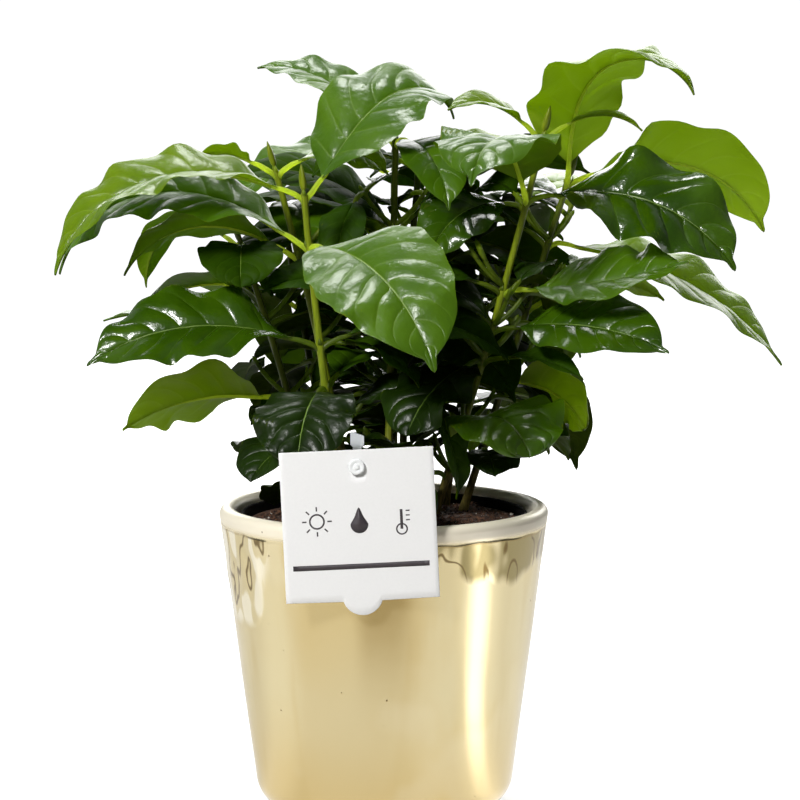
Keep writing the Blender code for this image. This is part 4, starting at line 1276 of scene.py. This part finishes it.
# Painted shade: stalks and twigs low in the crown are a darker green, standing in for the shade there. Higher
# up they take the lit green.
lit_high_share = stalk_skin.height().step(0.205, 0.285)
shaded_low_green = stalk_skin.tint(mottled, (0.040, 0.062, 0.002), (0.075, 0.105, 0.005))
lit_high_green = stalk_skin.tint(mottled, (0.15, 0.21, 0.006), (0.24, 0.31, 0.016))
stalk_shader = stalk_skin.coat(
    Base_Color=stalk_skin.tint(lit_high_share, shaded_low_green, lit_high_green),
    Roughness=0.38 + stalk_tone * 0.12,
    Specular_IOR_Level=0.35,
    Normal=stalk_skin.bump(stalk_tone, 0.15, 0.0002),
)
STALK_SKIN = stalk_skin.wear(stalk_skin.lit_through(stalk_shader, 0.38, (0.42, 0.58, 0.01)))
side_twigs = gather([twig_surface(shoot.path) for shoot in SHOOTS])
make_piece("side_twigs", *side_twigs, [STALK_SKIN], "green_bark")


# Leaf blades. Thin, glossy and leathery, folded a little at the pale midrib. The green puffs up between the
# side veins, which curve forward to the edge, and the edge is wavy. Old leaves are dark, young ones fresh.
# Leaves low down and inside the crown take darker, duller copies of the skins: painted shade.
BLADE_THICKNESS = 0.00032
VEIN_STEPS = np.array([0, 0.07, 0.19, 0.34, 0.5, 0.66, 0.81, 0.93])
ACROSS = np.array([0, 0.022, 0.06, 0.12, 0.20, 0.30, 0.41, 0.53, 0.65, 0.77, 0.87, 0.95, 1.0])
FAR_STEPS = VEIN_STEPS[::2]
FAR_ACROSS = ACROSS[[0, 1, 3, 5, 7, 9, 11, 12]]
VEIN_SWEEP = 0.82
PUFF = 0.014
EDGE_WAVE = 0.046
BELLY = 0.050
TIP_WIDTH = 0.00025
TONES = ("shaded_low", "shade", "old", "grown", "young")
SHADED_LOW_BELOW = 166


def fine_profile(u, roundness):
    """The fine blade's half width: a fuller ellipse than the source's, a wedge at the base and a drip tip.

    The tip tapers in a straight line to a blunt end and is joined on as the root of the sum of the squares.
    """
    body_end = 1 - 0.5 * DRIP_SHARE * (1 - roundness)
    x = held(u / body_end)
    body = (2 * np.sqrt(held(x * (1 - x)))) ** (2 * (0.74 - 0.2 * roundness))
    wedge = held(u / 0.12) ** (0.5 * (1 - roundness))
    drip = (0.035 + 0.95 * (1 - u)) * held((u - 0.7) / 0.15)
    drip = drip * np.sqrt(held((1 - u) / 0.012))
    return np.hypot(body * wedge, np.minimum(drip, 0.16) * (1 - roundness))


def blade_surface(root, leaf, tone, dice, ruffle=1.0, steps=VEIN_STEPS, places=ACROSS):
    """A blade as one closed thin shell, with its veins' pattern and the finish of each face.

    Rows follow the side veins: a row starts at share q of the midrib and, at share v of the half width, has
    moved forward to u = q + 4 q (1 - q) times the sweep times |v|^1.35, with a stagger that sets the two
    halves' veins apart. Across, the blade rises by the fold and a belly of sin(pi |v|^0.85), puffs up between
    veins by (4 s (1 - s))^0.85, s being the place between two veins, and waves at its edge by sines of u
    times |v|^1.9. The shell is that surface moved half its thickness along its normal each way, the two
    sides meeting at the edge.
    """
    veins = int(round(3.5 + leaf.length / 20))
    q = np.concatenate([(n + steps) / veins for n in range(veins)] + [[1.0]])[:, None]
    v = np.concatenate([-places[:0:-1], places])[None]
    out = np.abs(v)
    length = (leaf.length * MM) - PETIOLE_LENGTH
    sweep_share = VEIN_SWEEP * leaf.width / 2 * MM / length
    stagger = 0.22 / veins * held(out / 0.06) * np.where(v < 0, 1, -1)
    u = held(q + 4 * q * (1 - q) * (sweep_share * out**1.35 + stagger))
    on_leaf = (leaf.start + (1 - leaf.start) * u).ravel()
    points, side, up = [part.reshape(*u.shape, 3) for part in leaf_frames(root, leaf, on_leaf)]
    phase = dice.uniform(0, math.tau, 8)
    pace = dice.uniform(3.0, 4.6, 2) * (0.5 + 0.5 * leaf.length / 100)
    ruffle = ruffle * dice.uniform(0.75, 1.35)
    which = (v > 0).astype(int)
    frill = veins * (0.50 + 0.07 * pace[which])
    uneven = 0.6 + 0.6 * np.sin(7 * u + phase[2 + which])
    lobes = 0.022 * np.sin(math.tau * frill * u + phase[which]) * uneven
    lobes = lobes + 0.018 * np.sin(math.tau * pace[which] * 1.3 * u + phase[4 + which])
    lobes = 1 + lobes * held(4 * (1 - u))
    half = leaf.width / 2 * MM * np.maximum(fine_profile(u, leaf.roundness) * lobes, 0)
    half = np.maximum(half, PETIOLE_RADIUS * 0.8 * held(1 - u / 0.05) + TIP_WIDTH)
    settle = held(u / 0.12)
    settle = settle**2 * (3 - 2 * settle)
    fold = np.radians(leaf.fold) * settle
    s = (q * veins) % 1
    between = np.clip((q * veins).astype(int), 0, veins - 1)
    firm = dice.uniform(0.55, 1.45, (veins, 2))[between, which]
    puffed = firm * (4 * s * (1 - s)) ** 0.85 * np.sin(math.pi * u) ** 0.5
    puffed = puffed * held(out / 0.16) ** 0.6 * (1 - out**3)
    wave = np.sin(math.tau * pace[which] * u + phase[2 + which])
    wave = wave + 0.50 * np.sin(math.tau * frill * u + phase[4 + which]) * uneven
    wave = wave * (0.75 + 0.25 * np.sin(math.tau * 0.8 * u + phase[6 + which])) * ruffle
    wave = wave * out**1.9 * np.sin(math.pi * u) ** 0.6
    slow = 0.03 * np.sin(math.tau * 1.3 * u + phase[6]) * out * settle
    height = half * (np.sin(fold) * out + (BELLY * np.sin(math.pi * out**0.85) + slow) * settle)
    height = height + leaf.width * MM * settle * (PUFF * puffed * (0.5 + 0.5 * ruffle) + EDGE_WAVE * wave)
    height = height - 0.0003 * np.exp(-((out / 0.05) ** 2)) * settle
    middle = points + side * (half * v * np.cos(fold))[..., None] + up * height[..., None]
    normal = unit(np.cross(np.gradient(middle, axis=0), np.gradient(middle, axis=1)) + up * 1e-9)
    skin = BLADE_THICKNESS / 2 * np.ones_like(u) * (1 + 1.2 * np.exp(-((out / 0.05) ** 2)))
    skin[:, [0, -1]] = 0
    upper = middle + normal * skin[..., None]
    lower = middle - normal * skin[..., None]
    rings = np.concatenate([upper, lower[:, -2:0:-1]], 1)
    rows, columns = rings.shape[:2]
    last = v.size - 1
    pattern = np.stack(np.broadcast_arrays(q * veins, v), -1)
    pattern = np.concatenate([pattern, pattern[:, -2:0:-1]], 1)
    pattern = np.vstack([pattern.reshape(-1, 2), [(0, 0), (veins, 0)]])
    column_finish = np.where(np.arange(columns) < last, 2 * tone, 2 * tone + 1)
    column_finish[[last // 2 - 1, last // 2]] = 2 * len(TONES)
    finish = np.concatenate([np.tile(column_finish, rows - 1), np.full(2 * columns, 2 * tone + 1)])
    edge = np.zeros((rows, columns), bool)
    edge[:, [0, last]] = True
    edge = np.concatenate([edge.ravel(), [False, False]])
    return *tube(rings, rings[[0, -1]].mean(1), turned=True), finish, pattern, edge


def leaf_skin(name, dark, light, vein_colour, rough, gloss, vein, glow, share):
    """A leaf's skin: mottled green with paler side veins and a pebbly relief, letting some light through."""
    skin = Finish(name)
    along_q, across_v, _ = skin.split(skin.node("ShaderNodeUVMap", {"uv_map": "veins"}, {}))
    out = across_v.math("ABSOLUTE", across_v, 0)
    line = (1 - along_q.to_and_fro(0.5).step(0.010, 0.075)) * (1 - out.step(0.55, 1.0))
    mottle = skin.noise(38, 3)
    base = skin.tint(mottle.step(0.35, 0.7), dark, light)
    base = skin.tint(line * vein, base, vein_colour)
    base = skin.tint(out.step(0.975, 1.0) * 0.5, base, vein_colour)
    relief = skin.noise(95, 2) * 2.2 + skin.noise(330, 2) * 0.55 + skin.noise(700, 2) * 0.30 - line * 0.20
    face = skin.coat(
        Base_Color=base,
        Roughness=rough + mottle * 0.12 + line * 0.08,
        Specular_IOR_Level=gloss,
        Normal=skin.bump(relief, 0.45, 0.0008),
    )
    return skin.wear(skin.lit_through(face, share, glow))


# For each tone the top and the back: dark, light and vein colours, roughness, gloss, how far the veins show,
# and the colour and share of the light let through.
# The low and inner skins are darker, duller copies of the others: painted shade for leaves low down and
# inside the crown.
LEAF_SKINS = [
    (
        "shaded_low_leaf_top", (0.0055, 0.015, 0.0004), (0.013, 0.034, 0.0008), (0.030, 0.062, 0.004),
        0.28, 0.24, 0.20, (0.06, 0.14, 0.001), 0.14,
    ),
    (
        "shaded_low_leaf_back", (0.022, 0.040, 0.001), (0.036, 0.058, 0.0015), (0.062, 0.090, 0.008),
        0.55, 0.04, 0.4, (0.12, 0.22, 0.001), 0.20,
    ),
    (
        "shaded_inner_leaf_top", (0.014, 0.040, 0.0006), (0.030, 0.070, 0.0010), (0.060, 0.120, 0.006),
        0.45, 0.04, 0.20, (0.14, 0.30, 0.001), 0.20,
    ),
    (
        "shaded_inner_leaf_back", (0.040, 0.068, 0.0010), (0.062, 0.096, 0.0015), (0.100, 0.140, 0.008),
        0.55, 0.04, 0.4, (0.20, 0.36, 0.001), 0.28,
    ),
    (
        "old_leaf_top", (0.020, 0.056, 0.0007), (0.044, 0.102, 0.0012), (0.080, 0.155, 0.006),
        0.14, 0.62, 0.16, (0.14, 0.30, 0.001), 0.18,
    ),
    (
        "old_leaf_back", (0.042, 0.074, 0.0012), (0.066, 0.104, 0.0018), (0.105, 0.150, 0.010),
        0.48, 0.16, 0.5, (0.20, 0.36, 0.001), 0.26,
    ),
    (
        "grown_leaf_top", (0.042, 0.104, 0.0008), (0.070, 0.150, 0.0012), (0.130, 0.220, 0.010),
        0.25, 0.54, 0.26, (0.30, 0.52, 0.010), 0.24,
    ),
    (
        "grown_leaf_back", (0.082, 0.126, 0.001), (0.112, 0.160, 0.002), (0.150, 0.205, 0.010),
        0.46, 0.20, 0.5, (0.38, 0.56, 0.016), 0.36,
    ),
    (
        "young_leaf_top", (0.085, 0.150, 0.0008), (0.128, 0.200, 0.0012), (0.190, 0.265, 0.010),
        0.23, 0.54, 0.30, (0.52, 0.72, 0.030), 0.35,
    ),
    (
        "young_leaf_back", (0.112, 0.158, 0.006), (0.156, 0.206, 0.012), (0.230, 0.285, 0.040),
        0.42, 0.16, 0.5, (0.58, 0.76, 0.045), 0.40,
    ),
]

MIDRIB_LINE = plain_finish("midrib_line", (160, 2), (0.075, 0.140, 0.010), (0.125, 0.205, 0.020), 0.38, 0.12)
LEAF_FINISHES = [leaf_skin(*row) for row in LEAF_SKINS] + [MIDRIB_LINE]

# Tone of the leaves that differ from the rule: seedling, pair, and the tones of its first and second leaf.
TONE_CHOSEN = {
    ("front_left", 6): ("young", "grown"),
    ("front_left", 4): ("old", "shade"),
    ("front_left", 3): ("shaded_low", "shade"),
    ("right", 7): ("young", "young"),
    ("right", 6): ("old", "grown"),
    ("right", 5): ("grown", "shade"),
    ("right", 4): ("old", "shade"),
    ("right", 3): ("shade", "shaded_low"),
    ("right", 2): ("grown", "shade"),
    ("back_right", 5): ("young", "young"),
    ("back_right", 4): ("young", "shade"),
    ("back_right", 3): ("young", "shade"),
    ("back_right", 2): ("young", "grown"),
    ("centre", 4): ("shade", "shade"),
    ("centre_back", 4): ("young", "shade"),
    ("centre_back", 3): ("shade", "shade"),
    ("left", 4): ("grown", "shade"),
    ("left", 3): ("grown", "old"),
    ("left", 2): ("young", "old"),
    ("left_middle", 4): ("young", "young"),
    ("left_middle", 3): ("grown", "shade"),
    ("rear", 3): ("shade", "shade"),
    ("rear_right", 3): ("shade", "young"),
}

# Leaves whose edge is more ruffled than the others': seedling, pair, and the factors of its two leaves.
RUFFLED = {
    ("front_left", 6): (1.5, 1.3),
    ("front_left", 5): (0.8, 1.5),
    ("front_left", 4): (1.9, 1.0),
    ("front_left", 3): (1.8, 1.0),
    ("back_right", 5): (1.7, 1.0),
    ("back_right", 4): (1.5, 1.0),
    ("right", 6): (2.3, 1.2),
    ("right", 5): (1.5, 1.0),
    ("right", 3): (1.0, 1.6),
    ("right", 2): (1.6, 1.0),
    ("left", 2): (0.8, 1.0),
}


def tone_of(name, number, order):
    """A leaf's tone: the chosen one, or grown in the two top pairs, painted shade below, darker near the
    soil.
    """
    chosen = TONE_CHOSEN.get((name, number))
    if chosen:
        return TONES.index(chosen[order])
    if SEEDLINGS[name].pairs[number - 1] < SHADED_LOW_BELOW:
        return TONES.index("shaded_low")
    return TONES.index("grown" if len(SEEDLINGS[name].pairs) - number <= 1 else "shade")


leaf_dice = np.random.default_rng(SEED)
for name, seedling in SEEDLINGS.items():
    blades = []
    nodes = []
    for number in range(1, len(seedling.pairs) + 1):
        leaves = LEAVES.get((name, number), [])
        for root, leaf, order in leaves:
            ruffle = RUFFLED.get((name, number), (1.0, 1.0))[order]
            blades.append(blade_surface(root, leaf, tone_of(name, number, order), leaf_dice, ruffle))
        nodes += ["leaves_%s_%d" % (name, number)] if leaves else []
    for root, leaf in [found for shoot in SHOOTS if shoot.stem == name for found in shoot.leaves]:
        # Side-shoot leaves take the shaded_low, shade or old tone by chance. The first two are painted shade.
        tone = int(leaf_dice.choice([0, 1, 2], p=(0.35, 0.45, 0.20)))
        blades.append(blade_surface(root, leaf, tone, leaf_dice, 1.2, FAR_STEPS, FAR_ACROSS))
    blade_points, blade_faces = gather([blade[:2] for blade in blades])
    face_finish = np.concatenate([blade[2] for blade in blades])
    pattern = np.vstack([blade[3] for blade in blades])
    foliage = make_piece(
        "foliage_" + name, blade_points, blade_faces, LEAF_FINISHES, "leaf_green", face_finish, pattern
    )
    on_edge = np.concatenate([blade[4] for blade in blades])
    ends = np.empty(2 * len(foliage.data.edges), np.int32)
    foliage.data.edges.foreach_get("vertices", ends)
    foliage.data.edges.foreach_set("use_edge_sharp", on_edge[ends].reshape(-1, 2).all(1))
    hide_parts(*nodes)


# Leaf stalks. The two stalks of a pair leave the stem as the arms of a Y, with small pointed scales between
# them. A short stalk runs on under the blade as its midrib, ever thinner, almost to the tip.
STALK_RINGS = 46
MIDRIB_END = 0.93
SCALE_HEIGHT = 0.0030
FOOT_DROP = 0.0040


def stalk_surface(root, leaf, foot, ahead):
    """A leaf's stalk from its foot inside the stem or twig, and the midrib that it becomes.

    First the centre follows a cubic curve that starts at the foot along the stem, ahead, and ends on the
    leaf's own line just out of the stem. The radius falls a little to the blade, then by a power of what is
    left of the leaf. Under the blade the centre hangs below the midrib's line, so that only its back shows.
    """
    start = leaf.start
    join = OUT_OF_COLLAR / (leaf.length * MM)
    free_shares = np.linspace(join, start, 7)[:-1]
    shares = np.concatenate([free_shares, np.linspace(start, MIDRIB_END, STALK_RINGS - 6)])
    points, side, up = leaf_frames(root, leaf, shares)
    on_blade = held((shares - start) / (1 - start))
    size = leaf.width / 48
    stalk = 0.00122 - 0.00022 * held(shares / start)
    rib = (0.00022 + 0.00078 * (1 - on_blade) ** 1.25) * (0.35 + 0.65 * min(1.0, size))
    blend = held((shares - start * 0.7) / (start * 0.6))
    radius = stalk + (rib - stalk) * blend
    sunk = points - up * (radius * 0.86 * blend)[:, None]
    t = np.linspace(0, 1, 9)[:-1, None]
    onward = np.cross(side[0], up[0])
    bends = (foot, foot + ahead * 0.0026, sunk[0] - onward * 0.0018, sunk[0])
    weights = ((1 - t) ** 3, 3 * t * (1 - t) ** 2, 3 * t**2 * (1 - t), t**3)
    path = np.vstack([sum(weight * bend for weight, bend in zip(weights, bends)), sunk])
    tangent = np.gradient(path, axis=0)[:8]
    first_side = np.tile(side[0], (8, 1))
    first_up = unit(np.cross(tangent, first_side))
    radius = np.concatenate([np.linspace(0.00105, 0.00120, 8), radius])
    flat = 1 + 0.12 * (1 - np.concatenate([np.zeros(8), blend]))
    return sweep(path, np.vstack([first_side, side]), np.vstack([first_up, up]), radius * flat, radius)


def scale_surface(name, number, heading):
    """A pointed scale pressed to the stem, its half width w (1 - t)^0.7 at share t of its height.

    Its outer face stands off the stem, its inner face lies in it, and the two meet at the edge.
    """
    seedling = SEEDLINGS[name]
    centre, ahead, radius = collar_frame(seedling, seedling.pairs[number - 1] * MM)
    radius = radius - GAP - COLLAR_TUBE
    share = np.linspace(0, 0.98, 7)[:, None]
    turn = np.linspace(-1, 1, 9)[None]
    angle = math.radians(heading) + 0.80 * turn * (1 - share) ** 0.7
    off = radius - 0.0001 + 0.0006 * np.sin(math.pi * held(share + 0.1)) * (1 - turn**2)
    inner = off - 0.00035 * (1 - turn**2)
    up = SCALE_HEIGHT * (share - 0.1)
    layers = []
    for out in (off, inner[:, ::-1]):
        way = angle if out is off else angle[:, ::-1]
        layers.append(centre + rings_at(out, 0.0, way) + ahead * up[..., None])
    rings = np.concatenate([layers[0], layers[1][:, 1:-1]], 1)
    return tube(rings, rings[[0, -1]].mean(1))


TENDER_STALK = plain_finish(
    "tender_stalk", (210, 3), (0.24, 0.32, 0.030), (0.34, 0.42, 0.060), 0.40, 0.12,
    spread=(0.35, 0.7), relief=(0.15, 0.0002), through=(0.68, (0.78, 0.90, 0.16)), Specular_IOR_Level=0.3,
)

green_stalks = []
tender_stalks = []
for (name, number), leaves in LEAVES.items():
    centre, ahead, _ = collar_frame(SEEDLINGS[name], SEEDLINGS[name].pairs[number - 1] * MM)
    for root, leaf, order in leaves:
        kind = tender_stalks if tone_of(name, number, order) >= TONES.index("grown") else green_stalks
        kind.append(stalk_surface(root, leaf, centre - ahead * FOOT_DROP + (root - centre) * 0.15, ahead))
    between = leaves[0][1].heading + 90
    green_stalks += [scale_surface(name, number, between), scale_surface(name, number, between + 180)]
for shoot in SHOOTS:
    ahead = unit(shoot.path[-1] - shoot.path[-2])
    foot = shoot.path[-1] - ahead * 0.003
    green_stalks += [stalk_surface(root, leaf, foot, ahead) for root, leaf in shoot.leaves]
make_piece("green_stalks", *gather(green_stalks), [STALK_SKIN], "leaf_green")
make_piece("tender_stalks", *gather(tender_stalks), [TENDER_STALK], "leaf_green")


# Studio. The camera sees a wide pale floor under a white surround. They also shine through the leaves and
# the clear stick, but throw no light on any face. That comes from windows behind the plant, a soft box
# overhead, and a small key light from the front left, which an unseen table top throws back from below. The
# glaze and the leaves mirror a ring of pale and bright reflector boards that lie around the pot.
FLOOR_HALF = 7.0
FLOOR_DROP = 0.0001
BOARD_INNER = 0.052
BOARD_OUTER = 1.6
BOARD_LIFT = 0.0004


def unseen(stage_piece, camera=False, diffuse=False, glossy=False, shadow=False):
    """Chooses which light meets a piece of the studio."""
    stage_piece.visible_camera = camera
    stage_piece.visible_diffuse = diffuse
    stage_piece.visible_glossy = glossy
    stage_piece.visible_transmission = camera
    stage_piece.visible_shadow = shadow


def studio_sheet(name, points, faces, finish):
    mesh = bpy.data.meshes.new(name)
    mesh.from_pydata(points.tolist(), [], faces.tolist())
    mesh.materials.append(finish)
    sheet = bpy.data.objects.new(name, mesh)
    bpy.context.scene.collection.objects.link(sheet)
    return sheet


def level_sheet(name, height, finish):
    """A level square of 24 by 24 faces."""
    line = np.linspace(-FLOOR_HALF, FLOOR_HALF, 25)
    x, y = np.meshgrid(line, line)
    points = np.stack([x, y, np.full_like(x, height)], -1).reshape(-1, 3)
    return studio_sheet(name, points, grid_faces(25, 25), finish)


def glowing(name, colour, strength):
    """A plain emitter, whose colour may be a wire of its own finish."""
    lamp = name if isinstance(name, Finish) else Finish(name)
    return lamp.finished(Base_Color=BLACK, Roughness=1.0, Emission_Color=colour, Emission_Strength=strength)


pale = Finish("pale_floor")
floor_x, floor_y, _ = pale.split(pale.place())
floor_far = (floor_x * floor_x + floor_y * floor_y).step(0.02, 0.60)
floor_finish = pale.finished(
    Base_Color=(0.45, 0.45, 0.45),
    Roughness=0.9,
    Emission_Color=pale.tint(floor_far, (0.70, 0.70, 0.70), (1.0, 1.0, 1.0)),
    Emission_Strength=1.0,
)
unseen(level_sheet("studio_floor", -FLOOR_DROP, floor_finish), camera=True)

table = Finish("table_top").finished(Base_Color=(0.30, 0.29, 0.27), Roughness=0.9)
unseen(level_sheet("studio_table", -2 * FLOOR_DROP, table), diffuse=True, shadow=True)

dome_rise = np.radians(np.linspace(-4, 86, 16))[:, None]
dome = 6.5 * rings_at(np.cos(dome_rise), np.sin(dome_rise), turns(48)[None])
dome_faces = grid_faces(16, 48, ring_columns=True, turned=True)
white = glowing("white_surround", (1, 1, 1), 1.04)
unseen(studio_sheet("studio_surround", dome.reshape(-1, 3), dome_faces, white), camera=True)

boards = Finish("reflector_boards")
board_east, board_north, _ = boards.split(boards.place())
bearing = board_east.math("ARCTAN2", board_east, 0 - board_north)
distance = board_east.math("POWER", board_east * board_east + board_north * board_north, 0.5)
bright_board = bearing.step(0.98, 1.14) * (1 - bearing.step(1.22, 1.42)) * distance.step(0.04, 0.18)
left_board = (1 - bearing.step(-1.30, -0.90)) * bearing.step(-2.0, -1.5)
dim_board = bearing.step(-1.35, -0.95) * (1 - bearing.step(0.25, 0.75)) * distance.step(0.12, 0.27)
dark_board = bearing.step(-0.42, -0.16) * (1 - bearing.step(0.12, 0.45)) * distance.step(0.14, 0.30)
board_tone = boards.tint(bearing.step(-0.2, 0.7), (0.88, 0.87, 0.85), (1.02, 1.02, 1.02))
board_tone = boards.tint(left_board, board_tone, (1.00, 1.00, 1.00))
at_back = 1 - bearing.step(-2.0, -1.5) + bearing.step(1.9, 2.9)
board_tone = boards.tint(at_back, board_tone, (0.80, 0.79, 0.76))
board_tone = boards.tint(dim_board * 0.9, board_tone, (0.84, 0.75, 0.56))
board_tone = boards.tint(dark_board * 0.9, board_tone, (0.40, 0.31, 0.15))
beside_bright = bearing.step(0.80, 1.15) * (1 - bearing.step(1.30, 1.70))
board_tone = boards.tint(beside_bright * 0.6, board_tone, (1.5, 1.5, 1.5))
board_tone = boards.tint(bright_board, board_tone, (2.9, 2.9, 2.95))
board_ring = np.geomspace(BOARD_INNER, BOARD_OUTER, 12)[:, None]
board_points = rings_at(board_ring, BOARD_LIFT, turns(96)[None]).reshape(-1, 3)
board_faces = grid_faces(12, 96, ring_columns=True, turned=True)
board_sheet = studio_sheet("studio_boards", board_points, board_faces, glowing(boards, board_tone, 1.0))
unseen(board_sheet, glossy=True)

surround = bpy.data.worlds.new("room_light")
bpy.context.scene.world = surround
air = Finish("room_light", surround)
_, air_north, air_up = air.split(air.node("ShaderNodeTexCoord", {}, {}, "Generated"))
behind = (air_north * 0.9 + air_up * 0.1).step(0.0, 0.70)
room = air.tint(air_up.step(-0.1, 0.7), (0.06, 0.06, 0.06), (0.12, 0.12, 0.12))
room = air.tint(behind, room, (0.34, 0.35, 0.36))
air.wear(air.node("ShaderNodeBackground", {}, {"Color": room, "Strength": 1.0}), "ShaderNodeOutputWorld")


def soft_box(name, place, aim, width, depth, watts):
    """A rectangular soft light at a place, turned to face a point, that the camera doesn't see."""
    light = bpy.data.lights.new(name, "AREA")
    light.shape = "RECTANGLE"
    light.size = width
    light.size_y = depth
    light.energy = watts
    light.color = (1.0, 1.0, 0.985)
    lamp = bpy.data.objects.new(name, light)
    lamp.location = place
    lamp.rotation_euler = (Vector(aim) - Vector(place)).to_track_quat("-Z", "Y").to_euler()
    lamp.visible_camera = False
    bpy.context.scene.collection.objects.link(lamp)


soft_box("window_behind", (0.2, 1.6, 1.0), (0, 0, 0.2), 2.0, 1.1, 33)
soft_box("box_overhead", (-0.1, 0.30, 1.3), (0, 0, 0.2), 0.4, 0.3, 9)
soft_box("key_front_left", (-0.9, -1.3, 1.3), (0, 0, 0.2), 0.35, 0.35, 44)

bpy.context.scene.view_settings.view_transform = "Standard"
